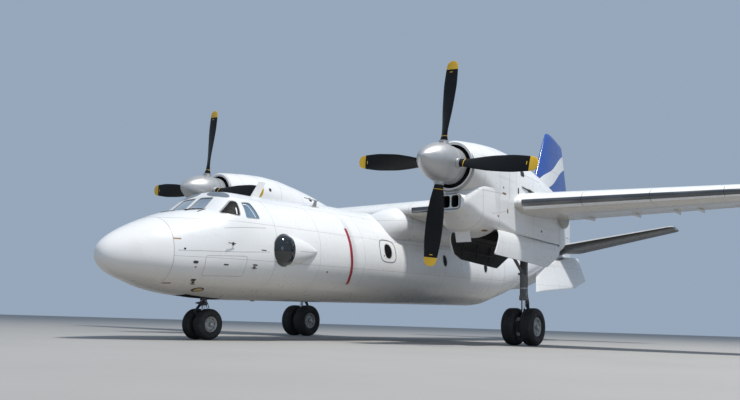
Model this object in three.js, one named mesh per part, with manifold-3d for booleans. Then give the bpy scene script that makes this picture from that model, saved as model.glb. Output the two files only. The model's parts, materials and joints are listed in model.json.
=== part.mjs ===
// A high-wing transport with two raised turboprop engines, standing on its landing gear.
// Millimetres, +Z up, nose towards -Y, port side towards +X.
// The origin is on the ground, under the middle of the bounding box.
// A station is a distance aft of a datum that lies a little ahead of the nose tip.
import * as THREE from "three";
import { mergeVertices } from "three/addons/utils/BufferGeometryUtils.js";
import Module from "manifold-3d";

const wasm = await Module();
wasm.setup();

// Whole aircraft
const NOSE_TIP = 440;
const LENGTH = 23680;
const TAIL_END = NOSE_TIP + LENGTH;
const MIDDLE = NOSE_TIP + LENGTH / 2;
const HALF_SPAN = 14600;
const FIN_TOP = 8750;
const SEAT_GAP = 0.3;
const MOVING_GAP = 8;
// How far a cutting block stands out of the skin that it cuts
const CUT_OVER = 20;

// Landing gear
const NOSE_LEG = 3130;
const MAIN_LEG = 10780;
const HALF_TRACK = 3950;

// Fuselage: the belly line rises towards the tail, because the aircraft stands a little nose down
const BELLY_AT_NOSE_LEG = 862;
const RAKE = 0.0264;
const RADOME_END = 1550;
const LOBE_POWER = 2.2;
const SECTION_POINTS = 32;
const FAIRING_POINTS = 12;

// Wing
const WING_LEADING = 8650;
const WING_HEIGHT = 3490;
const ROOT_CHORD = 3500;
const TIP_CHORD = 1095;
const KINK = 3950;
const LEADING_SLOPE = 0.173;
const WING_RISE = 0.008;
const WING_JOINT = 4720;
const ROOT_THICKNESS = 0.175;
const TIP_THICKNESS = 0.15;
const WING_CAMBER = 0.032;
const TRAILING_EDGE = 8;
const FOIL_STEPS = 8;

// Engines and propellers
const THRUST_LINE = 4110;
const PROPELLER_PLANE = 6420;
const PROPELLER_RADIUS = 2350;
const SPINNER_TIP = 5530;
const SPINNER_RADIUS = 438;
const SPINNER_END = 6820;
const SPINNER_SEGMENTS = 20;
const PORT_PROPELLER_TURN = 6.4;
const STARBOARD_PROPELLER_TURN = 5.2;

const PAINT_WHITE = 0xf1f2f2;
const PAINT_GREY = 0xb9b4aa;
const FIN_BLUE = 0x234f9e;
const BARE_METAL = 0x8b8d92;
const POLISHED_METAL = 0x6d6f75;
const BLADE_BLACK = 0x17181a;
const RUBBER_BLACK = 0x1c1c1d;
const GLASS_TINT = 0x5f7f93;
const ENGINE_METAL = 0x55575a;

const materials = {
  white: paint(PAINT_WHITE, 0.35, 0),
  grey: paint(PAINT_GREY, 0.5, 0),
  blue: paint(FIN_BLUE, 0.35, 0),
  bare: paint(BARE_METAL, 0.4, 0.9),
  polished: paint(POLISHED_METAL, 0.25, 1),
  blade: paint(BLADE_BLACK, 0.45, 0),
  rubber: paint(RUBBER_BLACK, 0.85, 0),
  glass: paint(GLASS_TINT, 0.1, 0),
  engine: paint(ENGINE_METAL, 0.6, 0.8),
};

function paint(color, roughness, metalness) {
  return new THREE.MeshStandardMaterial({ color, roughness, metalness });
}

function at(x, station, z) {
  return new THREE.Vector3(x, station - MIDDLE, z);
}

function bellyLine(station) {
  return BELLY_AT_NOSE_LEG + RAKE * (station - NOSE_LEG);
}

function mix(a, b, share) {
  return a + (b - a) * share;
}

// Value at x on the straight lines through [x, value] pairs
function along(pairs, x) {
  for (let i = 1; i < pairs.length; i++) {
    const [x0, v0] = pairs[i - 1];
    const [x1, v1] = pairs[i];
    if (x <= x1 || i === pairs.length - 1) return mix(v0, v1, (x - x0) / (x1 - x0));
  }
  return pairs[0][1];
}

// Solids

// Solid with its faces outward, whatever way round the geometry has them
// Its shared corners are merged before it is moved to its place
function solidOf(geometry, place = new THREE.Matrix4()) {
  const bare = geometry.clone();
  bare.deleteAttribute("normal");
  bare.deleteAttribute("uv");
  const merged = mergeVertices(bare, 1e-3).applyMatrix4(place);
  const corners = merged.index.array;
  const faces = [];
  for (let i = 0; i < corners.length; i += 3) {
    const [a, b, c] = corners.subarray(i, i + 3);
    if (a !== b && b !== c && c !== a) faces.push(a, b, c);
  }
  const vertProperties = merged.attributes.position.array;
  const make = (list) =>
    new wasm.Manifold(new wasm.Mesh({ numProp: 3, vertProperties, triVerts: new Uint32Array(list) }));
  const solid = make(faces);
  return solid.volume() < 0 ? make(faces.reverse()) : solid;
}

function geometryOf(solid) {
  const { vertProperties, triVerts } = solid.getMesh();
  const geometry = new THREE.BufferGeometry();
  geometry.setAttribute("position", new THREE.BufferAttribute(vertProperties, 3));
  geometry.setIndex(new THREE.BufferAttribute(triVerts, 1));
  return geometry;
}

function centreOf(points) {
  return points.reduce((sum, p) => sum.add(p), new THREE.Vector3()).divideScalar(points.length);
}

// Closed solid through rings of like numbers of points, with a flat fan at each end
// Each four-sided patch is split along its shorter diagonal, so a symmetrical body stays symmetrical
function loft(rings) {
  const count = rings[0].length;
  const points = rings.flat();
  const lastRing = points.length - count;
  const head = points.push(centreOf(rings[0])) - 1;
  const tail = points.push(centreOf(rings.at(-1))) - 1;
  const index = [];
  for (let i = 0; i < count; i++) {
    const j = (i + 1) % count;
    for (let start = 0; start < lastRing; start += count) {
      const [a, b, c, d] = [start + i, start + j, start + j + count, start + i + count];
      const acrossIsShort = points[a].distanceTo(points[c]) < points[b].distanceTo(points[d]) + 1e-6;
      index.push(...(acrossIsShort ? [a, b, c, a, c, d] : [a, b, d, b, c, d]));
    }
    index.push(head, j, i);
    index.push(tail, lastRing + i, lastRing + j);
  }
  const geometry = new THREE.BufferGeometry().setFromPoints(points);
  geometry.setIndex(index);
  return solidOf(geometry);
}

function extrude(outline, depth, matrix) {
  const shape = new THREE.Shape(outline.map(([a, b]) => new THREE.Vector2(a, b)));
  const geometry = new THREE.ExtrudeGeometry(shape, { depth, bevelEnabled: false });
  return solidOf(geometry, matrix);
}

// Prism over an outline of [station, z] points, from one x to another
function sidePrism(outline, from, to) {
  const turn = new THREE.Matrix4().makeBasis(
    new THREE.Vector3(0, 1, 0),
    new THREE.Vector3(0, 0, 1),
    new THREE.Vector3(1, 0, 0),
  );
  return extrude(outline, to - from, turn.setPosition(from, -MIDDLE, 0));
}

// Prism over an outline of [x, station] points, from one height to another
function planPrism(outline, from, to) {
  const move = new THREE.Matrix4().makeTranslation(0, -MIDDLE, from);
  return extrude(outline, to - from, move);
}

// Prism over an outline of [x, z] points, from one station to another
function frontPrism(outline, from, to) {
  const turn = new THREE.Matrix4().makeBasis(
    new THREE.Vector3(1, 0, 0),
    new THREE.Vector3(0, 0, 1),
    new THREE.Vector3(0, -1, 0),
  );
  return extrude(outline, to - from, turn.setPosition(0, to - MIDDLE, 0));
}

function movedTo({ x, y, z }) {
  return new THREE.Matrix4().makeTranslation(x, y, z);
}

function box(centre, width, depth, height) {
  return solidOf(new THREE.BoxGeometry(width, depth, height), movedTo(centre));
}

// Round bar between two points, with a radius at each
function bar(from, to, radius, sides = 12, endRadius = radius) {
  const way = new THREE.Vector3().subVectors(to, from);
  const geometry = new THREE.CylinderGeometry(endRadius, radius, way.length(), sides);
  const turn = new THREE.Quaternion().setFromUnitVectors(
    new THREE.Vector3(0, 1, 0),
    way.clone().normalize(),
  );
  const middle = new THREE.Vector3().addVectors(from, to).multiplyScalar(0.5);
  return solidOf(geometry, new THREE.Matrix4().compose(middle, turn, new THREE.Vector3(1, 1, 1)));
}

// Solid of revolution about a line through a point, along axis "x" or "y"
// The profile is a list of [radius, distance along the axis]
function turned(profile, centre, axis, segments, phase = 0) {
  const points = profile.map(([radius, distance]) => new THREE.Vector2(radius, distance));
  const geometry = new THREE.LatheGeometry(points, segments, phase);
  const place = movedTo(centre);
  if (axis === "x") place.multiply(new THREE.Matrix4().makeRotationZ(-Math.PI / 2));
  return solidOf(geometry, place);
}

// Plain drum that starts at a point and runs aft
function drum(start, radius, length, sides) {
  const profile = [[0, 0], [radius, 0], [radius, length], [0, length]];
  return turned(profile, start, "y", sides);
}

function union(...solids) {
  return solids.reduce((sum, solid) => sum.add(solid));
}

// Mirror image in the aircraft's middle plane
function mirrored(solid) {
  return solidOf(geometryOf(solid), new THREE.Matrix4().makeScale(-1, 1, 1));
}

// Mirror image in the port nacelle's own middle plane
function acrossNacelle(solid) {
  const move = new THREE.Matrix4().makeTranslation(2 * HALF_TRACK, 0, 0);
  return solidOf(geometryOf(mirrored(solid)), move);
}

// Outline with every corner moved away from the middle
function grown(outline, by) {
  const middle = [0, 1].map((k) => outline.reduce((sum, p) => sum + p[k], 0) / outline.length);
  return outline.map(([a, b]) => {
    const reach = Math.hypot(a - middle[0], b - middle[1]);
    const scale = (reach + by) / reach;
    return [middle[0] + (a - middle[0]) * scale, middle[1] + (b - middle[1]) * scale];
  });
}

// Fuselage

// Columns: station, belly, crown, half width, widest height and roundness of the top,
// the heights above the belly line; a roundness of 2 is an ellipse and more is squarer
const FUSELAGE_SECTIONS = [
  [NOSE_TIP, 815, 875, 35, 845, 2],
  [480, 730, 925, 115, 825, 2],
  [570, 594, 1047, 225, 821, 2],
  [820, 434, 1300, 450, 844, 2.05],
  [1170, 324, 1482, 680, 842, 2.15],
  [RADOME_END, 210, 1641, 885, 830, 2.3],
  [2020, 117, 1804, 1070, 847, 2.7],
  [2520, 59, 1910, 1220, 904, 3.2],
  [2840, 31, 2198, 1270, 946, 3],
  [3050, 14, 2345, 1310, 979, 2.7],
  [3520, 0, 2385, 1380, 1008, 2.3],
  [4300, 0, 2400, 1435, 1040, 2.05],
  [6400, 0, 2500, 1450, 1050, 2],
  [14600, 0, 2500, 1450, 1050, 2],
  [16000, 330, 2500, 1390, 1200, 2],
  [17500, 760, 2500, 1220, 1480, 2],
  [19000, 1170, 2490, 1000, 1750, 2],
  [20500, 1540, 2460, 760, 1960, 2],
  [22000, 1850, 2400, 480, 2100, 2],
  [22900, 2010, 2330, 260, 2160, 2],
  [23500, 2110, 2270, 90, 2190, 2],
];

function fuselageRing([station, belly, crown, half, waist, roundness], inset) {
  const datum = bellyLine(station);
  return Array.from({ length: SECTION_POINTS }, (_, i) => {
    const angle = (2 * Math.PI * i) / SECTION_POINTS;
    const across = Math.cos(angle);
    const up = Math.sin(angle);
    const power = 2 / (up > -1e-9 ? roundness : LOBE_POWER);
    const reach = up > -1e-9 ? crown - waist - inset : waist - belly - inset;
    const x = (half - inset) * Math.sign(across) * Math.abs(across) ** power;
    return at(x, station, datum + waist + reach * Math.sign(up) * Math.abs(up) ** power);
  });
}

// Fuselage between two stations, shrunk by an inset; a negative inset grows it, at its tail end too
function fuselageBody(inset, from, to = TAIL_END) {
  const rows = FUSELAGE_SECTIONS.filter(([station]) => station >= from && station <= to);
  const rings = rows.map((row) => fuselageRing(row, inset));
  if (inset < 0) rings.at(-1).forEach((point) => (point.y -= inset));
  return loft(rings);
}

function radome() {
  const rows = FUSELAGE_SECTIONS.filter(([station]) => station < RADOME_END);
  const last = FUSELAGE_SECTIONS.find(([station]) => station === RADOME_END);
  return loft([...rows, [RADOME_END - SEAT_GAP, ...last.slice(1)]].map((row) => fuselageRing(row, 0)));
}

// Layer of the fuselage between two depths under its skin
function skinLayer(outer, inner) {
  return fuselageBody(outer, RADOME_END).subtract(fuselageBody(inner, RADOME_END));
}

// Glass panes: outlines of [x, z] seen from the front, or [station, z] seen from the side
const WINDSHIELD_BASE = 2535;
const WINDSHIELD = [
  [60, 2600],
  [560, 2600],
  [475, 3025],
  [70, 3038],
];
const SIDE_WINDOW = [
  [2580, 2632],
  [2960, 2605],
  [3020, 2925],
  [2915, 2940],
];
const REAR_SIDE_WINDOW = [
  [3115, 2580],
  [3485, 2605],
  [3410, 2960],
  [3145, 2925],
];
const WINDSHIELD_REACH = 3400;
const SIDE_PANES_FROM = 500;
const SIDE_PANES_TO = 1600;
const PANE_DEPTH = 12;
const PANE_BACK = 36;
const POCKET_DEPTH = 60;

function panePrism(outline, fromFront, by) {
  const edge = grown(outline, by);
  return fromFront
    ? frontPrism(edge, WINDSHIELD_BASE - by, WINDSHIELD_REACH)
    : sidePrism(edge, SIDE_PANES_FROM, SIDE_PANES_TO);
}

function glassPanes() {
  const layer = skinLayer(PANE_DEPTH, PANE_BACK);
  return {
    windshield: layer.intersect(panePrism(WINDSHIELD, true, 0)),
    side_window: layer.intersect(panePrism(SIDE_WINDOW, false, 0)),
    rear_side_window: layer.intersect(panePrism(REAR_SIDE_WINDOW, false, 0)),
  };
}

function panePockets() {
  const edge = 2 * SEAT_GAP;
  return skinLayer(-CUT_OVER, POCKET_DEPTH).intersect(
    union(
      panePrism(WINDSHIELD, true, edge),
      panePrism(SIDE_WINDOW, false, edge),
      panePrism(REAR_SIDE_WINDOW, false, edge),
    ),
  );
}

// Cargo ramp: a thick panel of the rising belly, seen from below as [x, station]
const RAMP_OUTLINE = [
  [-1050, 14900],
  [1050, 14900],
  [780, 19000],
  [-780, 19000],
];
const RAMP_THICKNESS = 120;
const RAMP_LOW = 500;
const RAMP_HIGH = 2950;

function rampBlock(by, outer, inner) {
  const block = planPrism(grown(RAMP_OUTLINE, by), RAMP_LOW, RAMP_HIGH);
  return skinLayer(outer, inner).intersect(block);
}

// Hollow rear end of the cargo hold, over the ramp
const HOLD = { from: 14600, to: 20500, wall: 110 };

// Fairing ahead of and under the wing root, on the port side
// Columns: station, half width, low and high edge
const ROOT_FAIRING = [
  [7900, 1380, 2900, 3300],
  [8250, 1500, 2800, 3500],
  [8600, 1570, 2740, 3620],
  [9400, 1600, 2720, 3640],
  [12000, 1580, 2780, 3600],
  [13000, 1500, 2900, 3500],
  [13600, 1370, 3050, 3350],
];
const ROOT_FAIRING_REACH = 500;

function rootFairing() {
  const rings = ROOT_FAIRING.map(([station, half, low, high]) => {
    const middle = (low + high) / 2;
    const reach = (high - low) / 2;
    return Array.from({ length: FAIRING_POINTS }, (_, i) => {
      const angle = (2 * Math.PI * i) / FAIRING_POINTS;
      const x = half - ROOT_FAIRING_REACH + ROOT_FAIRING_REACH * Math.cos(angle);
      return at(x, station, middle + reach * Math.sin(angle));
    });
  });
  return loft(rings);
}

// Jacking pads: a short round foot with a flat underside
const BELLY_PAD = { x: 0, station: 4600, face: 885, root: 960 };
const WING_PAD = { x: 2500, station: 9900, face: 3260, root: 3340 };
const PAD_RADIUS = 45;
const BAR_SIDES = 16;

function jackPad({ x, station, face, root }) {
  return bar(at(x, station, face), at(x, station, root), PAD_RADIUS, BAR_SIDES);
}

const NOSE_BAY = { from: 2350, to: 3330, half: 330, floor: 500, roof: 1350 };

function noseBay() {
  const { from, to, half, floor, roof } = NOSE_BAY;
  const outline = [
    [-half, from],
    [half, from],
    [half, to],
    [-half, to],
  ];
  return planPrism(outline, floor, roof);
}

// Round observation window on the port side
const BLISTER = { skin: 1425, station: 4110, height: 1985, half: 330, tall: 350, bulge: 190, sunk: 60 };
const BLISTER_BACK = 40;
const BLISTER_ROOM_SCALE = 1.002;
const ROOM_SIZE = 1000;

function blisterDome(scale, back) {
  const { skin, station, height, half, tall, bulge, sunk } = BLISTER;
  const geometry = new THREE.SphereGeometry(1, 20, 12);
  geometry.scale((bulge + sunk) * scale, half * scale, tall * scale);
  const dome = solidOf(geometry, movedTo(at(skin - sunk, station, height)));
  const middle = at(skin + ROOM_SIZE / 2 - back, station, height);
  return dome.intersect(box(middle, ROOM_SIZE, 2 * ROOM_SIZE, 2 * ROOM_SIZE));
}

// Pointed fairing behind the window: distance aft and share of the full height
const BLISTER_FAIRING = [
  [0, 1],
  [450, 0.8],
  [900, 0.45],
  [1250, 0.12],
];
const BLISTER_FAIRING_X = 1290;
const BLISTER_FAIRING_START = 0.55;
const BLISTER_FAIRING_OUT = 300;
const BLISTER_FAIRING_END = 0.35;

function blisterFairing() {
  const { station, height, tall, half } = BLISTER;
  const nose = at(BLISTER_FAIRING_X, station + half * BLISTER_FAIRING_START, height);
  const rings = BLISTER_FAIRING.map(([back, share]) =>
    Array.from({ length: FAIRING_POINTS }, (_, i) => {
      const angle = (2 * Math.PI * i) / FAIRING_POINTS;
      const out = BLISTER_FAIRING_OUT * mix(BLISTER_FAIRING_END, 1, share) * Math.cos(angle);
      return new THREE.Vector3(nose.x + out, nose.y + back, nose.z + tall * share * Math.sin(angle));
    }),
  );
  return loft(rings);
}

// Wing

function chordAt(x) {
  return along([[0, ROOT_CHORD], [KINK, ROOT_CHORD], [HALF_SPAN, TIP_CHORD]], x);
}

function leadingAt(x) {
  return WING_LEADING + LEADING_SLOPE * Math.max(0, x - KINK);
}

function wingHeightAt(x) {
  return WING_HEIGHT + WING_RISE * Math.max(0, x - KINK);
}

// Half thickness of a symmetrical foil at a share of its chord
function foilHalf(share, thickness) {
  const root = 0.2969 * Math.sqrt(share) - 0.126 * share;
  return 5 * thickness * (root - 0.3516 * share ** 2 + 0.2843 * share ** 3 - 0.1015 * share ** 4);
}

// Points [distance aft, height] of a foil, from the trailing edge over the top and back below
function foil(chord, thickness, camber, grow = 0) {
  const upper = [];
  const lower = [];
  for (let i = 0; i <= FOIL_STEPS; i++) {
    const share = (1 - Math.cos((Math.PI * i) / FOIL_STEPS)) / 2;
    const middle = 4 * camber * share * (1 - share) * chord;
    const half = foilHalf(share, thickness) * chord + (TRAILING_EDGE / 2) * share + grow;
    const aft = share * chord + grow * (2 * share - 1);
    upper.push([aft, middle + half]);
    if (i > 0) lower.push([aft, middle - half]);
  }
  return [...upper.reverse(), ...lower];
}

function wingRing(x, grow = 0, scale = 1) {
  const side = Math.abs(x);
  const chord = chordAt(side);
  const share = Math.max(0, (side - KINK) / (HALF_SPAN - KINK));
  const thickness = mix(ROOT_THICKNESS, TIP_THICKNESS, share);
  const start = leadingAt(side) + chord * (1 - scale) * 0.6;
  return foil(chord * scale, thickness, WING_CAMBER, grow).map(([aft, up]) =>
    at(x, start + aft, wingHeightAt(side) + up),
  );
}

function wingMiddle(grow = 0) {
  const ends = WING_JOINT + grow;
  return loft([-ends, -KINK, KINK, ends].map((x) => wingRing(x, grow)));
}

// Rounded end of the wing: x and share of the chord there
const WING_TIP = [
  [14250, 1],
  [14450, 0.95],
  [14560, 0.82],
  [HALF_SPAN, 0.55],
];

function wingOuter() {
  const rows = [[WING_JOINT + SEAT_GAP, 1], [AILERON_FROM, 1], ...WING_TIP];
  return loft(rows.map(([x, scale]) => wingRing(x, 0, scale)));
}

// Strip of [x, station] points between two shares of the chord
function chordStrip(from, to, front, rear) {
  const point = (x, share) => [x, leadingAt(x) + chordAt(x) * share];
  return [point(from, front), point(to, front), point(to, rear), point(from, rear)];
}

// A strip to or from this share passes the wing's edge
const BEHIND_WING = 1.1;
const BEFORE_WING = -0.2;
const WING_CUT_BELOW = 600;
const WING_CUT_HEIGHT = 1500;

const SLAT = { from: 4800, to: 14000, share: 0.055, gap: 0.6, shareGap: 0.0003, low: 3000, high: 4200 };
const FLAP_HINGE = 0.7;
const AILERON_HINGE = 0.72;
const AILERON_FROM = 9150;
const AILERON_TO = 14150;
const RIB_GAP = 15;
const HINGE_PIN = { radius: 12, hole: 12.6, depth: 60, spare: 8, root: 30 };
// The rounded nose of a moving surface lies this far under its skin
const NOSE_SUNK = 1;
const HINGE_POINTS = 16;

function wingPoint(x, share) {
  const chord = chordAt(x);
  const middle = 4 * WING_CAMBER * share * (1 - share) * chord;
  return at(x, leadingAt(x) + chord * share, wingHeightAt(x) + middle);
}

function wingHalfThickness(x, share) {
  const part = (x - KINK) / (HALF_SPAN - KINK);
  return foilHalf(share, mix(ROOT_THICKNESS, TIP_THICKNESS, part)) * chordAt(x);
}

// Frustum about a hinge line whose ends lie on planes of constant x
function hingeRoller(ends, radii) {
  const rings = ends.map((end, k) =>
    Array.from({ length: HINGE_POINTS }, (_, i) => {
      const angle = (2 * Math.PI * (i + 0.5)) / HINGE_POINTS;
      const round = new THREE.Vector3(0, Math.cos(angle), Math.sin(angle));
      return end.clone().addScaledVector(round, radii[k]);
    }),
  );
  return loft(rings);
}

// Pin from a fixed point along a hinge line into the end of a moving surface, and the hole for it
function hingePin(from, into) {
  const { radius, hole, depth, spare, root } = HINGE_PIN;
  const way = new THREE.Vector3().subVectors(into, from).normalize();
  const start = from.clone().addScaledVector(way, -root);
  return {
    pin: bar(start, into.clone().addScaledVector(way, depth), radius, BAR_SIDES),
    hole: bar(from, into.clone().addScaledVector(way, depth + spare), hole, BAR_SIDES),
  };
}

function splitAileron(wing) {
  const low = WING_HEIGHT - WING_CUT_BELOW;
  const high = low + WING_CUT_HEIGHT;
  const outerStrip = chordStrip(AILERON_FROM, AILERON_TO, AILERON_HINGE, BEHIND_WING);
  const [innerFrom, innerTo] = [AILERON_FROM + RIB_GAP, AILERON_TO - RIB_GAP];
  const innerStrip = chordStrip(innerFrom, innerTo, AILERON_HINGE, BEHIND_WING);
  const sides = [AILERON_FROM, AILERON_TO];
  const thick = sides.map((x) => wingHalfThickness(x, AILERON_HINGE) - NOSE_SUNK);
  const roller = hingeRoller(
    sides.map((x) => wingPoint(x, AILERON_HINGE)),
    thick.map((t) => t + MOVING_GAP + 2 * NOSE_SUNK),
  );
  const ends = [innerFrom, innerTo].map((x) => wingPoint(x, AILERON_HINGE));
  const nose = hingeRoller(ends, thick);
  const pins = sides.map((x, k) => hingePin(wingPoint(x, AILERON_HINGE), ends[k]));
  const room = union(planPrism(outerStrip, low, high), roller);
  const moving = wing.intersect(planPrism(innerStrip, low, high)).add(nose);
  return {
    fixed: wing.subtract(room).add(union(...pins.map(({ pin }) => pin))),
    aileron: moving.subtract(union(...pins.map(({ hole }) => hole))),
  };
}

const INNER_FLAP = [1700, 3230];
const OUTER_FLAP = [WING_JOINT + 60, 9080];

function flapPieces(solid, [from, to]) {
  const low = WING_HEIGHT - WING_CUT_BELOW;
  const high = low + WING_CUT_HEIGHT;
  const strip = chordStrip(from, to, FLAP_HINGE, BEHIND_WING);
  const flap = solid.intersect(planPrism(strip, low, high));
  const [x0, x1] = [from - SEAT_GAP, to + SEAT_GAP];
  const front = FLAP_HINGE - SEAT_GAP / TIP_CHORD;
  const room = planPrism(chordStrip(x0, x1, front, BEHIND_WING), low, high);
  return { flap, rest: solid.subtract(room) };
}

// Nacelles: columns station, top, bottom, half width, height of the round top and of the round bottom
const COWL_SECTIONS = [
  [6860, 4680, 3560, 555, 555, 555],
  [6900, 4722, 3518, 598, 600, 600],
  [7300, 4780, 3360, 640, 640, 640],
  [7900, 4850, 3250, 668, 640, 500],
  [8500, 4890, 3250, 672, 640, 400],
  [9000, 4885, 3250, 672, 640, 400],
  [9600, 4820, 3250, 672, 620, 400],
  [10500, 4680, 3300, 665, 560, 400],
  [11500, 4460, 3400, 600, 450, 400],
  [12400, 4280, 3560, 430, 355, 355],
  [13000, 4210, 3670, 268, 268, 268],
];
const KEEL_SECTIONS = [
  [6860, 3500, 3050, 350, 224, 224],
  [7000, 3620, 2960, 430, 280, 330],
  [7350, 3900, 2660, 590, 300, 420],
  [8100, 4000, 2560, 668, 300, 420],
  [9000, 4000, 2520, 672, 300, 300],
  [11700, 3850, 2450, 668, 300, 290],
  [12300, 3760, 2560, 560, 300, 300],
  [12800, 3640, 2800, 340, 220, 180],
  [13100, 3500, 3050, 110, 90, 80],
];
const HALF_ARC = 10;

function nacelleRing([station, top, bottom, half, arch, sole]) {
  const points = [];
  for (let i = 0; i <= HALF_ARC; i++) {
    const angle = (Math.PI * i) / HALF_ARC;
    points.push([half * Math.cos(angle), top - arch + arch * Math.sin(angle)]);
  }
  for (let i = 0; i <= HALF_ARC; i++) {
    const angle = Math.PI + (Math.PI * i) / HALF_ARC;
    points.push([half * Math.cos(angle), bottom + sole + sole * Math.sin(angle)]);
  }
  return points.map(([x, z]) => at(HALF_TRACK + x, station, z));
}

const WHEEL_BAY = { from: 8300, to: 11300, half: 560, floor: 2000, roof: 3130 };
const DOOR_SEAM = 2745;
const DOORWAY_HALF = 1000;
const INTAKE = { station: 6800, radius: 515, depth: 380 };
const CHIN_HOLE = { offset: 115, half: 95, low: 3150, high: 3430, from: 6700, to: 7150 };
const COOLER_FLAP = { station: 7400, half: 195, low: 2420, high: 2720, thickness: 25, slope: 90 };
const EXHAUST = { station: 12650, height: 3940, radius: 225, length: 400 };
const WING_SEAT = 0.6;

// Outlet flap of the oil cooler, hanging open under the front of the nacelle
function coolerFlap() {
  const { station, half, low, high, thickness, slope } = COOLER_FLAP;
  const outline = [
    [station + slope, low],
    [station + slope + thickness, low],
    [station + thickness, high],
    [station, high],
  ];
  return sidePrism(outline, HALF_TRACK - half, HALF_TRACK + half);
}

function rectangle(left, right, low, high) {
  return [
    [left, low],
    [right, low],
    [right, high],
    [left, high],
  ];
}

function nacelle() {
  const { from, to, half, floor, roof } = WHEEL_BAY;
  const shell = union(
    loft(COWL_SECTIONS.map(nacelleRing)),
    loft(KEEL_SECTIONS.map(nacelleRing)),
    coolerFlap(),
  );
  const bay = box(at(HALF_TRACK, (from + to) / 2, (roof + floor) / 2), 2 * half, to - from, roof - floor);
  const intake = drum(at(HALF_TRACK, INTAKE.station, THRUST_LINE), INTAKE.radius, INTAKE.depth, 32);
  const doorway = sidePrism(
    rectangle(DOOR_FRONT, DOOR_REAR, floor, DOOR_SEAM),
    HALF_TRACK - DOORWAY_HALF,
    HALF_TRACK + DOORWAY_HALF,
  );
  const chin = [-1, 1].map((side) => {
    const middle = HALF_TRACK + side * CHIN_HOLE.offset;
    const [left, right] = [middle - CHIN_HOLE.half, middle + CHIN_HOLE.half];
    const outline = rectangle(left, right, CHIN_HOLE.low, CHIN_HOLE.high);
    return frontPrism(outline, CHIN_HOLE.from, CHIN_HOLE.to);
  });
  const outlet = at(HALF_TRACK, EXHAUST.station, EXHAUST.height);
  const exhaust = drum(outlet, EXHAUST.radius, EXHAUST.length, 20);
  const engineRoom = engineBlock(SEAT_GAP);
  const cuts = union(bay, intake, engineRoom, doorway, ...chin, exhaust, wingMiddle(WING_SEAT));
  return shell.subtract(cuts);
}

// Engine: columns radius and station, a wide gearbox end and a slim turbine end above the wing
const ENGINE_START = 7180;
const ENGINE_PROFILE = [
  [0, ENGINE_START],
  [400, ENGINE_START],
  [400, 8300],
  [215, 8620],
  [215, 9400],
  [0, 9400],
];

function engineBlock(grow = 0) {
  const last = ENGINE_PROFILE.length - 1;
  const profile = ENGINE_PROFILE.map(([radius, station], i) => [
    radius > 0 ? radius + grow : 0,
    station - ENGINE_START + (i < 2 ? -grow : i >= last - 1 ? grow : 0),
  ]);
  return turned(profile, at(HALF_TRACK, ENGINE_START, THRUST_LINE), "y", 24);
}

// Wheel-bay doors hang from the bay's edges: outlines seen from the side as [station, z]
// The outboard door's front corner reaches forward, and the inboard one's is cut away
const DOOR_FRONT = 7980;
const DOOR_REAR = 11620;
const DOOR_LOWER_EDGE = [
  [10630, 2055],
  [11400, 2440],
  [DOOR_REAR - 20, DOOR_SEAM],
];
const OUTER_DOOR = [[DOOR_FRONT + 20, DOOR_SEAM], [7640, 2130], ...DOOR_LOWER_EDGE];
const INNER_DOOR = [
  [DOOR_FRONT + 20, DOOR_SEAM],
  [8120, 2530],
  [8320, 2240],
  [8660, 2130],
  ...DOOR_LOWER_EDGE,
];
// Cross-section of the door as [x from the nacelle's middle, z]
const DOOR_CURVE = [
  [640, DOOR_SEAM - SEAT_GAP],
  [705, 2650],
  [745, 2500],
  [755, 2300],
  [740, 2000],
];
const DOOR_THICKNESS = 35;
const DOOR_STRIP_FROM = 7500;

function bayDoor(outline) {
  const outer = DOOR_CURVE.map(([x, z]) => [HALF_TRACK + x, z]);
  const inner = DOOR_CURVE.map(([x, z]) => [HALF_TRACK + x - DOOR_THICKNESS, z]).reverse();
  const strip = frontPrism([...outer, ...inner], DOOR_STRIP_FROM, DOOR_REAR);
  return strip.intersect(sidePrism(outline, HALF_TRACK, HALF_TRACK + DOORWAY_HALF));
}

// Propellers

// Columns: radius, chord, thickness and pitch in degrees
const BLADE_SECTIONS = [
  [150, 200, 200, 50],
  [480, 200, 195, 46],
  [620, 245, 120, 40],
  [900, 330, 75, 31],
  [1300, 395, 50, 22],
  [1700, 400, 38, 14],
  [2050, 350, 28, 8],
  [2240, 300, 20, 5],
  [2320, 215, 15, 4],
  [PROPELLER_RADIUS, 90, 9, 4],
];
const BLADE_POINTS = 8;
// Distances along the axis are aft of the propeller's plane
const HUB = { tip: -260, front: -220, radius: 190, plate: 300, plateEnd: 340, shaft: 130, gap: 0.5 };
const SPINNER_FULL = -60;
const SPINNER_POWERS = [1.8, 0.72];
const SPINNER_SHARES = [0, 0.02, 0.08, 0.2, 0.4, 0.68, 1];
const SPINNER_TAPER = 6;
const SPINNER_WALL = 25.5;
const SPINNER_RIM_WALL = 26;
const SPINNER_APEX = 10;
const BLADE_HOLE = { radius: 118, from: 250, to: 700, sides: 12 };

function bladeRing([radius, chord, thickness, pitch]) {
  const angle = THREE.MathUtils.degToRad(pitch);
  const chordWay = new THREE.Vector3(Math.cos(angle), -Math.sin(angle), 0);
  const thickWay = new THREE.Vector3(Math.sin(angle), Math.cos(angle), 0);
  return Array.from({ length: BLADE_POINTS }, (_, i) => {
    const turn = (2 * Math.PI * i) / BLADE_POINTS;
    return new THREE.Vector3(0, 0, radius)
      .addScaledVector(chordWay, (chord / 2) * Math.cos(turn))
      .addScaledVector(thickWay, (thickness / 2) * Math.sin(turn));
  });
}

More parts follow.
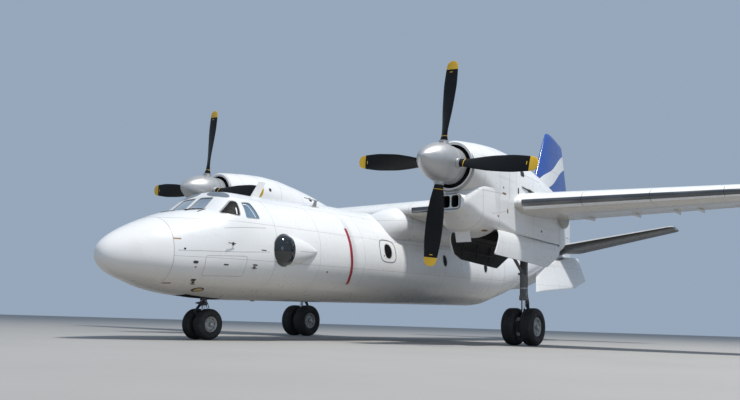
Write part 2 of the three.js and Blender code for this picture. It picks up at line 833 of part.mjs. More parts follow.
function propellerHub(side, turnDegrees) {
  const centre = at(side * HALF_TRACK, PROPELLER_PLANE, THRUST_LINE);
  const shaftEnd = ENGINE_START - HUB.gap - PROPELLER_PLANE;
  const profile = [
    [0, HUB.tip],
    [HUB.radius, HUB.front],
    [HUB.radius, HUB.plate],
    [SPINNER_RADIUS - SPINNER_RIM_WALL, HUB.plate],
    [SPINNER_RADIUS - SPINNER_RIM_WALL, HUB.plateEnd],
    [HUB.shaft, HUB.plateEnd],
    [HUB.shaft, shaftEnd],
    [0, shaftEnd],
  ];
  const hub = turned(profile, centre, "y", SPINNER_SEGMENTS);
  const blade = BLADE_SECTIONS.map(bladeRing);
  const blades = [0, 1, 2, 3].map((quarter) => {
    const turn = new THREE.Matrix4().makeRotationY(
      THREE.MathUtils.degToRad(turnDegrees + 90 * quarter),
    );
    return loft(blade.map((ring) => ring.map((p) => p.clone().applyMatrix4(turn).add(centre))));
  });
  return union(hub, ...blades);
}

function spinnerRadius(station) {
  const fullAt = PROPELLER_PLANE + SPINNER_FULL;
  const share = Math.max(0, (fullAt - station) / (fullAt - SPINNER_TIP));
  const [inner, outer] = SPINNER_POWERS;
  return SPINNER_RADIUS * (1 - share ** inner) ** outer;
}

function spinner(side, turnDegrees) {
  const centre = at(side * HALF_TRACK, PROPELLER_PLANE, THRUST_LINE);
  const stations = SPINNER_SHARES.map((share) => mix(SPINNER_TIP, PROPELLER_PLANE + SPINNER_FULL, share));
  const outer = stations.map((s) => [spinnerRadius(s), s - PROPELLER_PLANE]);
  outer[0][0] = 0;
  outer.push([SPINNER_RADIUS - SPINNER_TAPER, SPINNER_END - PROPELLER_PLANE]);
  const inner = outer.slice(2).map(([radius, s]) => [radius - SPINNER_WALL, s]);
  inner.at(-1)[0] = SPINNER_RADIUS - SPINNER_RIM_WALL + SEAT_GAP;
  inner.at(-2)[0] = SPINNER_RADIUS - SPINNER_RIM_WALL + SEAT_GAP;
  const apex = [[0, inner[0][1] + SPINNER_APEX]];
  const shell = turned([...outer, ...inner.slice(1).reverse(), ...apex], centre, "y", SPINNER_SEGMENTS);
  const holes = [0, 1, 2, 3].map((quarter) => {
    const angle = THREE.MathUtils.degToRad(turnDegrees + 90 * quarter);
    const way = new THREE.Vector3(Math.sin(angle), 0, Math.cos(angle));
    const { radius, from, to, sides } = BLADE_HOLE;
    const [start, end] = [from, to].map((out) => centre.clone().addScaledVector(way, out));
    return bar(start, end, radius, sides);
  });
  return shell.subtract(union(...holes));
}

// Wheels: a tyre's profile is a list of [share of half width, share of the way from rim to tread]
const TYRE_PROFILE = [
  [0.72, 0],
  [0.97, 0.3],
  [0.97, 0.65],
  [0.74, 0.92],
  [0.32, 1],
];
const TYRE_SEGMENTS = 26;

function tyre(centre, radius, rim, halfWidth) {
  const side = TYRE_PROFILE.map(([wide, out]) => [mix(rim, radius, out), halfWidth * wide]);
  const other = side.map(([r, wide]) => [r, -wide]).reverse();
  return turned([...side, ...other, side[0]], centre, "x", TYRE_SEGMENTS, Math.PI / TYRE_SEGMENTS);
}

// Shares of the rim's radius, of the tyre's half width and of the axle's radius
const HUB_FLANGE = 0.645;
const HUB_FACE = 0.72;
const AXLE_CAP = { front: 1.5, back: 1.6, out: 30, sunk: 45 };

// Pair of wheel hubs on one turning axle through the leg's eye
function hubPair(centre, rim, spread, halfWidth, axle) {
  const seat = rim - SEAT_GAP;
  const face = spread + halfWidth * HUB_FACE;
  const back = spread - halfWidth * HUB_FACE;
  const { front, back: root, out, sunk } = AXLE_CAP;
  const profile = [
    [0, -face - out],
    [axle * front, -face - out],
    [axle * root, -face + sunk],
    [seat * HUB_FLANGE, -face + sunk],
    [seat, -face],
    [seat, -back],
    [axle, -back],
  ];
  const mirrored = profile.map(([r, x]) => [r, -x]).reverse();
  return turned([...profile, ...mirrored], centre, "x", TYRE_SEGMENTS, Math.PI / TYRE_SEGMENTS);
}

const MAIN_WHEEL = { radius: 500, rim: 255, halfWidth: 190, spread: 265, axle: 45 };
const NOSE_WHEEL = { radius: 335, rim: 170, halfWidth: 122, spread: 190, axle: 32 };

function axleHeight(wheel) {
  return wheel.radius * Math.cos(Math.PI / TYRE_SEGMENTS);
}

const EYE_GAP = 0.6;
// The gear's tops stop this far under the roofs of their bays
const ROOF_GAP = 0.4;

// Leg's lower end: a block with an eye for the turning axle
function legEye(centre, axle, wide, outer) {
  const eye = bar(
    centre.clone().add(new THREE.Vector3(-wide, 0, 0)),
    centre.clone().add(new THREE.Vector3(wide, 0, 0)),
    outer,
    BAR_SIDES,
  );
  const hole = bar(
    centre.clone().add(new THREE.Vector3(-2 * wide, 0, 0)),
    centre.clone().add(new THREE.Vector3(2 * wide, 0, 0)),
    axle + EYE_GAP,
    TYRE_SEGMENTS,
  );
  return { eye, hole };
}

// Heights, radii and stations of the main leg's parts
const MAIN_STRUT = {
  eye: { wide: 58, radius: 92 },
  column: { low: 1250, radius: 92 },
  piston: { top: 1300, radius: 58 },
  collar: { low: 1200, high: 1330, radius: 108 },
  brace: { low: 1900, station: 9050, sunk: 60, radius: 42 },
  seat: { deep: 130, radius: 60 },
  trunnion: { half: 300, sunk: 120, radius: 70 },
  links: { aft: 60, knee: 330, radius: 26, upper: [1290, 960], lower: [620, 970] },
};
const BRACE_SIDES = 10;
const LINK_SIDES = 8;

function mainLeg() {
  const leg = (z, aft = 0) => at(HALF_TRACK, MAIN_LEG + aft, z);
  const foot = leg(axleHeight(MAIN_WHEEL));
  const { eye: end, column, piston, collar, brace, seat, trunnion, links } = MAIN_STRUT;
  const { eye, hole } = legEye(foot, MAIN_WHEEL.axle, end.wide, end.radius);
  const roof = WHEEL_BAY.roof;
  const front = (z) => at(HALF_TRACK, brace.station, z);
  const [left, right] = [-trunnion.half, trunnion.half].map((x) =>
    at(HALF_TRACK + x, MAIN_LEG, roof - trunnion.sunk),
  );
  const link = ([top, bottom]) =>
    bar(leg(top, links.aft), leg(bottom, links.knee), links.radius, LINK_SIDES);
  return union(
    bar(leg(column.low), leg(roof - ROOF_GAP), column.radius, BAR_SIDES),
    bar(foot, leg(piston.top), piston.radius, BAR_SIDES),
    bar(leg(collar.low), leg(collar.high), collar.radius, BAR_SIDES),
    bar(leg(brace.low), front(roof - brace.sunk), brace.radius, BRACE_SIDES),
    bar(front(roof - seat.deep), front(roof - ROOF_GAP), seat.radius, BRACE_SIDES),
    bar(left, right, trunnion.radius, 12),
    link(links.upper),
    link(links.lower),
    eye,
  ).subtract(hole);
}

const STEER_SPLIT = 830;
const STEER_PIN = 30;

const STEER_PIN_SIDES = 24;
// Heights are from the split between the fixed and the steered part of the leg
const NOSE_STRUT = {
  column: { low: 6, radius: 72 },
  brace: { low: 70, station: 2470, sunk: 50, radius: 30 },
  seat: { deep: 90, radius: 42 },
  socket: { high: 60, gap: 1 },
};
const NOSE_FORK = {
  eye: { wide: 52, radius: 62 },
  piston: { top: -60, radius: 46 },
  collar: { low: -90, radius: 84 },
  pin: { low: -10, high: 54 },
};
// Torque links run forward of the leg: [distance forward, height] of both ends
const NOSE_LINKS = [
  [[50, 780], [230, 590]],
  [[40, 400], [230, 600]],
];
const NOSE_LINK_RADIUS = 20;
const NOSE_LUG = { forward: 70, height: 330, size: [60, 90, 80] };

function nosePoint(z, forward = 0) {
  return at(0, NOSE_LEG - forward, z);
}

function noseLeg() {
  const roof = NOSE_BAY.roof - ROOF_GAP;
  const { column, brace, seat, socket } = NOSE_STRUT;
  const front = (z) => at(0, brace.station, z);
  const hole = bar(
    nosePoint(STEER_SPLIT),
    nosePoint(STEER_SPLIT + socket.high),
    STEER_PIN + socket.gap,
    STEER_PIN_SIDES,
  );
  return union(
    bar(nosePoint(STEER_SPLIT + column.low), nosePoint(roof), column.radius, BAR_SIDES),
    bar(nosePoint(STEER_SPLIT + brace.low), front(roof - brace.sunk), brace.radius, BRACE_SIDES),
    bar(front(roof - seat.deep), front(roof), seat.radius, BRACE_SIDES),
  ).subtract(hole);
}

function noseSteering() {
  const foot = nosePoint(axleHeight(NOSE_WHEEL));
  const { eye: end, piston, collar, pin } = NOSE_FORK;
  const { eye, hole } = legEye(foot, NOSE_WHEEL.axle, end.wide, end.radius);
  const split = (z) => nosePoint(STEER_SPLIT + z);
  const links = NOSE_LINKS.map(([[a, high], [b, low]]) =>
    bar(nosePoint(high, a), nosePoint(low, b), NOSE_LINK_RADIUS, LINK_SIDES),
  );
  return union(
    bar(foot, split(piston.top), piston.radius, BAR_SIDES),
    bar(split(collar.low), split(0), collar.radius, BAR_SIDES),
    bar(split(pin.low), split(pin.high), STEER_PIN, STEER_PIN_SIDES),
    ...links,
    box(nosePoint(NOSE_LUG.height, NOSE_LUG.forward), ...NOSE_LUG.size),
    eye,
  ).subtract(hole);
}

// Tail

const FIN_HINGE = 22360;
const FIN_KINK = 5150;
const FIN_FOOT = 3400;
const ABOVE_FIN = 9000;
const BEHIND_TAIL = 24500;
// Half widths of the blocks that trim the fin and that part the rudder from it
const FIN_TRIM_HALF = 400;
const RUDDER_CUT_HALF = 500;
const FIN_TRAILING = [[FIN_FOOT, TAIL_END], [FIN_KINK, TAIL_END], [8450, 23135], [ABOVE_FIN, 22970]];
const FIN_LEADING_SLOPE = 0.494;
const FIN_LEADING_AT_TOP = 21280;
const FIN_LEADING_TOP = 8530;
// Heights of the fin's rings
const FIN_LEVELS = [FIN_FOOT, FIN_KINK, 8450, 8900];
const FIN_THICKNESS = 0.115;
const RUDDER_LOW = 4450;
const RUDDER_GAP = 25;
const RUDDER_NOSE_TOP = 8570;
const RUDDER_NOSE_SUNK = 2;
const RUDDER_POINTS = 20;
// Outline of fin and rudder as [station, z]
const FIN_OUTLINE = [
  [18600, FIN_FOOT],
  [TAIL_END, FIN_FOOT],
  [TAIL_END, FIN_KINK],
  [23200, 8380],
  [23080, 8460],
  [22100, 8690],
  [21640, FIN_TOP],
  [21420, 8720],
  [FIN_LEADING_AT_TOP, FIN_LEADING_TOP],
];

function finLeading(z) {
  return FIN_LEADING_AT_TOP - (FIN_LEADING_TOP - z) * FIN_LEADING_SLOPE;
}

function finBody(grow = 0) {
  const rings = FIN_LEVELS.map((z) => {
    const lead = finLeading(z);
    const chord = along(FIN_TRAILING, z) - lead;
    return foil(chord, FIN_THICKNESS, 0, grow).map(([aft, out]) => at(out, lead + aft, z));
  });
  return loft(rings).intersect(sidePrism(FIN_OUTLINE, -FIN_TRIM_HALF, FIN_TRIM_HALF));
}

// Round column about the rudder's hinge, as thick as the fin is there
function rudderColumn(heights, grow) {
  const rings = heights.map((z) => {
    const lead = finLeading(z);
    const chord = along(FIN_TRAILING, z) - lead;
    const radius = foilHalf((FIN_HINGE - lead) / chord, FIN_THICKNESS) * chord + grow;
    return Array.from({ length: RUDDER_POINTS }, (_, i) => {
      const angle = (2 * Math.PI * i) / RUDDER_POINTS;
      return at(radius * Math.cos(angle), FIN_HINGE + radius * Math.sin(angle), z);
    });
  });
  return loft(rings);
}

function splitRudder(body) {
  const start = RUDDER_LOW + RUDDER_GAP;
  const column = rudderColumn([RUDDER_LOW, FIN_KINK, ABOVE_FIN], MOVING_GAP + RUDDER_NOSE_SUNK);
  const nose = rudderColumn([start, FIN_KINK, RUDDER_NOSE_TOP], -RUDDER_NOSE_SUNK);
  const slab = (outline) => sidePrism(outline, -RUDDER_CUT_HALF, RUDDER_CUT_HALF);
  const behind = (z) => slab(rectangle(FIN_HINGE, BEHIND_TAIL, z, ABOVE_FIN));
  const { pin, hole } = hingePin(at(0, FIN_HINGE, RUDDER_LOW), at(0, FIN_HINGE, start));
  const moving = body.intersect(behind(start)).add(nose);
  return {
    fixed: body.subtract(union(column, behind(RUDDER_LOW))).add(pin),
    rudder: moving.intersect(slab(FIN_OUTLINE)).subtract(hole),
  };
}

// Columns: station, low and high edge, half width
const DORSAL_FILLET = [
  [15300, 3660, 3700, 30],
  [17500, 3500, 4060, 90],
  [19400, 3500, 4720, 150],
  [20000, 3500, 5200, 165],
];
const DORSAL_SHOULDER = { wide: 0.8, up: 0.7 };

function dorsalFillet() {
  const { wide, up } = DORSAL_SHOULDER;
  const rings = DORSAL_FILLET.map(([station, low, high, half]) => [
    at(half, station, low),
    at(half * wide, station, mix(low, high, up)),
    at(0, station, high),
    at(-half * wide, station, mix(low, high, up)),
    at(-half, station, low),
  ]);
  return loft(rings);
}

const TAILPLANE = { root: 250, tip: 5115, lead: [20600, 21250], chord: [2560, 1150], height: [3640, 4420] };
const TAIL_THICKNESS = 0.12;
const TAIL_CAMBER = -0.01;
const ELEVATOR_HINGE = 0.62;
const ELEVATOR_ROOT = 640;
const ELEVATOR_ARM = 600;
const ELEVATOR_DROOP = 6;
const ELEVATOR_TIP = 5050;
const ELEVATOR_AXIS_END = 5000;
const ELEVATOR_ROLLER_END = 5200;
const ELEVATOR_STRIP_END = 5400;
const ELEVATOR_CUT = { low: 3000, high: 5500, rear: 24000 };
// The elevator's inner corner is cut off, clear of the rudder
const ELEVATOR_CORNER = { across: 700, aft: 110 };
const ELEVATOR_ROOT_GAP = 60;
const ELEVATOR_ARM_SIZE = [24, 160, 60];
const TAIL_ROOT_CUT = [
  [200, 22150],
  [700, 22150],
  [1400, ELEVATOR_CUT.rear],
  [200, ELEVATOR_CUT.rear],
];
// Rounded end of the tailplane: x and share of the chord there
const TAIL_TIP = [
  [4950, 1],
  [5060, 0.93],
  [TAILPLANE.tip, 0.75],
];

function tailShare(x) {
  return x / TAILPLANE.tip;
}

// Point on the mean line of the tailplane
function tailPoint(x, share) {
  const lead = mix(...TAILPLANE.lead, tailShare(x));
  const chord = mix(...TAILPLANE.chord, tailShare(x));
  const middle = 4 * TAIL_CAMBER * share * (1 - share) * chord;
  return at(x, lead + chord * share, mix(...TAILPLANE.height, tailShare(x)) + middle);
}

function tailRing(x, scale = 1) {
  const chord = mix(...TAILPLANE.chord, tailShare(x));
  const start = tailPoint(x, (1 - scale) * 0.5);
  return foil(chord * scale, TAIL_THICKNESS, TAIL_CAMBER).map(
    ([aft, up]) => new THREE.Vector3(x, start.y + aft, start.z + up),
  );
}

function tailplane() {
  return loft([[TAILPLANE.root, 1], ...TAIL_TIP].map(([x, scale]) => tailRing(x, scale)));
}

function elevatorStrip(root, tip) {
  const plan = (x, share) => {
    const p = tailPoint(x, share);
    return [x, p.y + MIDDLE];
  };
  const [corner, end] = [plan(root, ELEVATOR_HINGE), plan(tip, ELEVATOR_HINGE)];
  const { across, aft } = ELEVATOR_CORNER;
  const { rear } = ELEVATOR_CUT;
  return [corner, end, [tip, rear], [root + across, rear], [root, corner[1] + aft]];
}

function splitElevator(body) {
  const half = (x) =>
    foilHalf(ELEVATOR_HINGE, TAIL_THICKNESS) * mix(...TAILPLANE.chord, tailShare(x)) - NOSE_SUNK;
  const sides = [ELEVATOR_ROOT - RIB_GAP, ELEVATOR_ROLLER_END];
  const room = hingeRoller(
    sides.map((x) => tailPoint(x, ELEVATOR_HINGE)),
    sides.map((x) => half(x) + MOVING_GAP + 2 * NOSE_SUNK),
  );
  const inner = [ELEVATOR_ROOT, ELEVATOR_TIP];
  const nose = hingeRoller(
    inner.map((x) => tailPoint(x, ELEVATOR_HINGE)),
    inner.map(half),
  );
  const { low, high } = ELEVATOR_CUT;
  const wide = planPrism(elevatorStrip(ELEVATOR_ROOT - ELEVATOR_ROOT_GAP, ELEVATOR_STRIP_END), low, high);
  const narrow = planPrism(elevatorStrip(ELEVATOR_ROOT, ELEVATOR_STRIP_END), low, high);
  const root = planPrism(TAIL_ROOT_CUT, low, high);
  const armPoint = tailPoint(ELEVATOR_ARM, ELEVATOR_HINGE);
  const arm = box(armPoint, ...ELEVATOR_ARM_SIZE);
  const { pin, hole } = hingePin(armPoint, tailPoint(ELEVATOR_ROOT, ELEVATOR_HINGE));
  const moving = body.intersect(narrow).add(nose).subtract(hole);
  return { fixed: body.subtract(union(room, wide, root)).add(arm).add(pin), elevator: drooped(moving) };
}

function elevatorAxis() {
  return new THREE.Vector3()
    .subVectors(tailPoint(ELEVATOR_AXIS_END, ELEVATOR_HINGE), tailPoint(ELEVATOR_ROOT, ELEVATOR_HINGE))
    .normalize();
}

function drooped(solid) {
  const pivot = tailPoint(ELEVATOR_ROOT, ELEVATOR_HINGE);
  const geometry = geometryOf(solid).translate(-pivot.x, -pivot.y, -pivot.z);
  const turn = new THREE.Quaternion().setFromAxisAngle(
    elevatorAxis(),
    THREE.MathUtils.degToRad(-ELEVATOR_DROOP),
  );
  return solidOf(geometry.applyQuaternion(turn).translate(pivot.x, pivot.y, pivot.z));
}

// Ventral fin, between a root line inside the tail and its free lower edge
// Each line runs from its leading end by a bend to its trailing end
const VENTRAL_LINES = [
  { half: 60, points: [[680, 18700, 2750], [380, 21790, 3340], [130, 23150, 3520]] },
  { half: 36, points: [[1140, 17950, 1800], [1130, 21790, 2150], [1110, 23060, 2510]] },
];
const VENTRAL_CREASE = 0.74;
const VENTRAL_EDGE_HALF = 4;
const VENTRAL_SHOULDER = 0.12;
const VENTRAL_CANT = 0.3;

function ventralRing({ half, points }) {
  const [lead, middle, trail] = points.map((p) => at(...p));
  const place = (share, out) => {
    const [from, to, part] =
      share < VENTRAL_CREASE
        ? [lead, middle, share / VENTRAL_CREASE]
        : [middle, trail, (share - VENTRAL_CREASE) / (1 - VENTRAL_CREASE)];
    return from.clone().lerp(to, part).add(new THREE.Vector3(out, 0, -out * VENTRAL_CANT));
  };
  return [
    place(0, 0),
    place(VENTRAL_SHOULDER, half),
    place(VENTRAL_CREASE, half),
    place(1, VENTRAL_EDGE_HALF),
    place(1, -VENTRAL_EDGE_HALF),
    place(VENTRAL_CREASE, -half),
    place(VENTRAL_SHOULDER, -half),
  ];
}

function ventralFin() {
  return loft(VENTRAL_LINES.map(ventralRing));
}

// Blade antenna on the crown, seen from the side as [station, z]
const ANTENNA_OUTLINE = [
  [4300, 3200],
  [4560, 3200],
  [4840, 3725],
  [4640, 3725],
];
const ANTENNA_HALF = 14;

function bladeAntenna() {
  const seat = fuselageBody(-SEAT_GAP, RADOME_END);
  return sidePrism(ANTENNA_OUTLINE, -ANTENNA_HALF, ANTENNA_HALF).subtract(seat);
}

// Assembly

const aircraft = new THREE.Group();

function add(name, solid, material) {
  const mesh = new THREE.Mesh(geometryOf(solid), material);
  mesh.name = name;
  aircraft.add(mesh);
  return mesh;
}

// Port piece and its mirror image on the starboard side
function addPair(name, solid, material) {
  add(name + "_port", solid, material);
  add(name + "_starboard", solid, material).scale.x = -1;
}

// Block that takes away what stands forward of the radome's end
const NOSE_ROOM = { station: 700, height: 1500, size: 4000 };

function noseRoom() {
  const { station, height, size } = NOSE_ROOM;
  return box(at(0, station, height), size, 2 * (RADOME_END - station), size);
}

function fuselage() {
  const fairing = rootFairing();
  const pockets = panePockets();
  const shell = union(
    fuselageBody(0, RADOME_END),
    fairing,
    mirrored(fairing),
    blisterFairing(),
    jackPad(BELLY_PAD),
  );
  const cuts = union(
    pockets,
    mirrored(pockets),
    rampBlock(2 * SEAT_GAP, -CUT_OVER, RAMP_THICKNESS + SEAT_GAP),
    fuselageBody(HOLD.wall, HOLD.from, HOLD.to),
    noseBay(),
    wingMiddle(WING_SEAT),
    blisterDome(BLISTER_ROOM_SCALE, BLISTER_BACK + 1),
    noseRoom(),
  );
  return shell.subtract(cuts);
}

const finParts = splitRudder(finBody());
const hull = fuselageBody(-SEAT_GAP, RADOME_END);
const tailParts = splitElevator(tailplane());
const fin = finParts.fixed.add(dorsalFillet()).subtract(hull);
const finRoom = union(hull, finBody(SEAT_GAP));

add("radome", radome(), materials.white);
add("fuselage", fuselage(), materials.white);
add("cargo_ramp", rampBlock(0, 0, RAMP_THICKNESS), materials.white);
add("blister_window", blisterDome(1, BLISTER_BACK), materials.glass);
const panes = glassPanes();
for (const [name, solid] of Object.entries(panes)) addPair(name, solid, materials.glass);
add("blade_antenna", bladeAntenna(), materials.white);

const wingPad = jackPad(WING_PAD);
const innerFlap = flapPieces(union(wingMiddle(), wingPad, mirrored(wingPad)), INNER_FLAP);
const bothFlaps = flapPieces(mirrored(innerFlap.rest), INNER_FLAP);
add("wing_center", bothFlaps.rest, materials.white);
addPair("inner_flap", innerFlap.flap, materials.white);

const outerWing = flapPieces(wingOuter(), OUTER_FLAP);
const aileronParts = splitAileron(outerWing.rest);
const { from: slatFrom, to: slatTo, share: slatShare, gap, shareGap, low, high } = SLAT;
const edge = planPrism(chordStrip(slatFrom, slatTo, BEFORE_WING, slatShare), low, high);
const edgeStrip = chordStrip(slatFrom - gap, slatTo + gap, BEFORE_WING, slatShare + shareGap);
const edgeRoom = planPrism(edgeStrip, low, high);
addPair("outer_wing", aileronParts.fixed.subtract(edgeRoom), materials.white);
addPair("leading_edge", aileronParts.fixed.intersect(edge), materials.polished);
addPair("outer_flap", outerWing.flap, materials.white);
addPair("aileron", aileronParts.aileron, materials.white);

addPair("nacelle", nacelle(), materials.white);
addPair("engine_block", engineBlock(), materials.engine);
addPair("outer_bay_door", bayDoor(OUTER_DOOR), materials.white);
addPair("inner_bay_door", acrossNacelle(bayDoor(INNER_DOOR)), materials.white);

const propellers = [
  ["port", 1, PORT_PROPELLER_TURN],
  ["starboard", -1, STARBOARD_PROPELLER_TURN],
];
for (const [name, side, turn] of propellers) {
  add("propeller_" + name, propellerHub(side, turn), materials.blade);
  add("spinner_" + name, spinner(side, turn), materials.bare);
}

addPair("main_leg", mainLeg(), materials.bare);
const mainAxle = at(HALF_TRACK, MAIN_LEG, axleHeight(MAIN_WHEEL));
const { rim, spread, halfWidth, axle, radius } = MAIN_WHEEL;
addPair("main_hubs", hubPair(mainAxle, rim, spread, halfWidth, axle), materials.bare);
for (const [name, side] of [["outer", 1], ["inner", -1]]) {
  const centre = mainAxle.clone().add(new THREE.Vector3(side * spread, 0, 0));
  addPair("main_tyre_" + name, tyre(centre, radius, rim, halfWidth), materials.rubber);
}

add("nose_leg", noseLeg(), materials.bare);
add("nose_steering", noseSteering(), materials.bare);
const noseAxle = at(0, NOSE_LEG, axleHeight(NOSE_WHEEL));
const nose = NOSE_WHEEL;
add("nose_hubs", hubPair(noseAxle, nose.rim, nose.spread, nose.halfWidth, nose.axle), materials.bare);
const noseTyre = tyre(
  noseAxle.clone().add(new THREE.Vector3(nose.spread, 0, 0)),
  nose.radius,
  nose.rim,
  nose.halfWidth,
);
addPair("nose_tyre", noseTyre, materials.rubber);

add("fin", fin, materials.blue);
add("rudder", finParts.rudder, materials.blue);
addPair("tailplane", tailParts.fixed.subtract(finRoom), materials.grey);
addPair("elevator", tailParts.elevator, materials.grey);
addPair("ventral_fin", ventralFin().subtract(hull), materials.white);

export default aircraft;
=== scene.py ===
import json
import math
from functools import reduce

import bmesh
import bpy
import numpy as np
from mathutils import Matrix, Vector
from mathutils.bvhtree import BVHTree


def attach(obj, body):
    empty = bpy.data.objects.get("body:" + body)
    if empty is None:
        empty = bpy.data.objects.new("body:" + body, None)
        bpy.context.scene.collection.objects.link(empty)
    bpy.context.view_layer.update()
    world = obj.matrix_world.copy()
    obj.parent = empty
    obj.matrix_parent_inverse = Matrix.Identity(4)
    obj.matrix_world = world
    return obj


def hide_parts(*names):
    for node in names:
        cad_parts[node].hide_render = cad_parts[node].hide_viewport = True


# Metres, +Z up, nose towards -Y, port side towards +X
# A station is a distance aft of the datum that the part's source uses
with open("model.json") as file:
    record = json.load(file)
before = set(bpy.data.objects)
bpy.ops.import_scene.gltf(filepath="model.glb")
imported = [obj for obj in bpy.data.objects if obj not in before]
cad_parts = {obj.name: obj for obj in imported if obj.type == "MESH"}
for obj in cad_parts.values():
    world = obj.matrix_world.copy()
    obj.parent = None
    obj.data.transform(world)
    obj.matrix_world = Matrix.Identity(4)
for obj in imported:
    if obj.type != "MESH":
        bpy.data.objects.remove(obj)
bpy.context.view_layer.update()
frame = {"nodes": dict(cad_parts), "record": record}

MIDDLE = 12.28
SIDES = (("port", 1), ("starboard", -1))


def at(x, station, z):
    return np.array([x, station - MIDDLE, z], float)


BELLY_SLOPE = 0.0264


def belly_line(station):
    return 0.862 + BELLY_SLOPE * (station - 3.13)


def circle(count):
    return np.linspace(0, 2 * math.pi, count, endpoint=False)


# Camera, as solved from the photograph's points

def make_camera():
    yaw, pitch, roll = math.radians(36.52), math.radians(6.86), math.radians(1.73)
    eye = (12.56, -20.117, 0.442)
    ahead = Vector((-math.sin(yaw) * math.cos(pitch), math.cos(yaw) * math.cos(pitch), math.sin(pitch)))
    side = Vector((math.cos(yaw), math.sin(yaw), 0))
    up = side.cross(ahead)
    right = side * math.cos(roll) + up * math.sin(roll)
    top = up * math.cos(roll) - side * math.sin(roll)
    data = bpy.data.cameras.new("camera")
    data.sensor_width, data.lens, data.shift_y, data.clip_end = 36, 36.36, 0.0461, 500
    camera = bpy.data.objects.new("camera", data)
    camera.matrix_world = Matrix([*zip(right, top, -ahead, eye), (0, 0, 0, 1)])
    bpy.context.scene.collection.objects.link(camera)
    bpy.context.scene.camera = camera


# Materials

class Shader:
    """Node tree of one procedural material, with the object's own coordinates at hand"""

    def __init__(self, name, colour, roughness, metallic=0.0, coat=0.0, specular=0.5):
        self.material = bpy.data.materials.new(name)
        self.material.use_nodes = True
        self.colour = (*colour, 1)
        self.material.diffuse_color = self.colour
        self.tree = self.material.node_tree
        self.tree.nodes.clear()
        output = self.node("ShaderNodeOutputMaterial")
        self.bsdf = self.node("ShaderNodeBsdfPrincipled")
        self.link(self.bsdf.outputs[0], output.inputs[0])
        self.set("Base Color", self.colour)
        self.set("Roughness", roughness)
        self.set("Metallic", metallic)
        self.set("Coat Weight", coat)
        self.set("Coat Roughness", 0.08)
        self.set("Specular IOR Level", specular)
        self.point = self.node("ShaderNodeTexCoord").outputs["Object"]
        split = self.node("ShaderNodeSeparateXYZ")
        self.link(self.point, split.inputs[0])
        self.x, self.y, self.z = split.outputs

    def node(self, kind, **settings):
        made = self.tree.nodes.new(kind)
        for key, value in settings.items():
            setattr(made, key, value)
        return made

    def link(self, source, target):
        self.tree.links.new(source, target)

    def put(self, value, target):
        if isinstance(value, bpy.types.NodeSocket):
            self.link(value, target)
        else:
            target.default_value = value

    def set(self, name, value):
        self.put(value, self.bsdf.inputs[name])

    def math(self, operation, *values):
        made = self.node("ShaderNodeMath", operation=operation)
        for value, target in zip(values, made.inputs):
            self.put(value, target)
        return made.outputs[0]

    def noise(self, scale, detail, stretch=(1, 1, 1), rough=0.55):
        turn = self.node("ShaderNodeMapping")
        self.put(stretch, turn.inputs["Scale"])
        self.link(self.point, turn.inputs[0])
        made = self.node("ShaderNodeTexNoise")
        for key, value in (("Vector", turn.outputs[0]), ("Scale", scale), ("Detail", detail),
                           ("Roughness", rough)):
            self.put(value, made.inputs[key])
        return made.outputs[0]

    def ramp(self, value, low, high, start=0.0, end=1.0):
        made = self.node("ShaderNodeMapRange", clamp=True)
        for target, number in zip(made.inputs, (value, low, high, start, end)):
            self.put(number, target)
        return made.outputs[0]

    def near(self, coordinate, place, half, soft=0.004):
        """1 within half of a place along a coordinate, 0 beyond"""
        away = self.math("ABSOLUTE", self.math("SUBTRACT", coordinate, place))
        return self.ramp(away, half, half + soft, 1.0, 0.0)

    def any(self, masks):
        return reduce(lambda a, b: self.math("MAXIMUM", a, b), masks)

    def both(self, *masks):
        return reduce(lambda a, b: self.math("MULTIPLY", a, b), masks)

    def tint(self, mask, colour, strength=1.0):
        """Mixes another colour into the base colour where the mask says so"""
        made = self.node("ShaderNodeMix", data_type="RGBA")
        self.put(mask if strength == 1.0 else self.math("MULTIPLY", mask, strength), made.inputs[0])
        self.put(self.colour, made.inputs[6])
        self.put((*colour, 1), made.inputs[7])
        self.colour = made.outputs[2]
        self.set("Base Color", self.colour)

    def bump(self, height, distance, strength):
        made = self.node("ShaderNodeBump")
        for key, value in (("Strength", strength), ("Distance", distance), ("Height", height)):
            self.put(value, made.inputs[key])
        normal = self.bsdf.inputs["Normal"]
        if normal.is_linked:
            self.link(normal.links[0].from_socket, made.inputs["Normal"])
        self.link(made.outputs[0], normal)

    def seams(self, lines, colour, strength):
        """Sunk lines of another colour"""
        seam = self.any(lines)
        self.tint(seam, colour, strength)
        self.bump(self.math("SUBTRACT", 1.0, seam), 0.003, 0.6)

    def facing_down(self, start, end):
        """One where the surface faces the ground"""
        normal = self.node("ShaderNodeSeparateXYZ")
        self.link(self.node("ShaderNodeNewGeometry").outputs["Normal"], normal.inputs[0])
        return self.ramp(normal.outputs[2], start, end)

    def rough(self, low, high, scale=6.0, stretch=(1, 1, 1)):
        self.set("Roughness", self.ramp(self.noise(scale, 5, stretch), 0.3, 0.7, low, high))


WHITE = (0.80, 0.81, 0.82)
GRIME = (0.42, 0.38, 0.32)
# Warm painted shade for faces turned to the ground
UNDERSIDE_SHADE = (0.46, 0.41, 0.34)
# Painted shade that darkens the skin towards the belly
BELLY_SHADE = (0.52, 0.485, 0.42)
# Dirt streaks that strengthen downwards with that painted shade
BELLY_DIRT_AND_SHADE = (0.4, 0.36, 0.3)
SEAM_SHADE = (0.28, 0.29, 0.3)


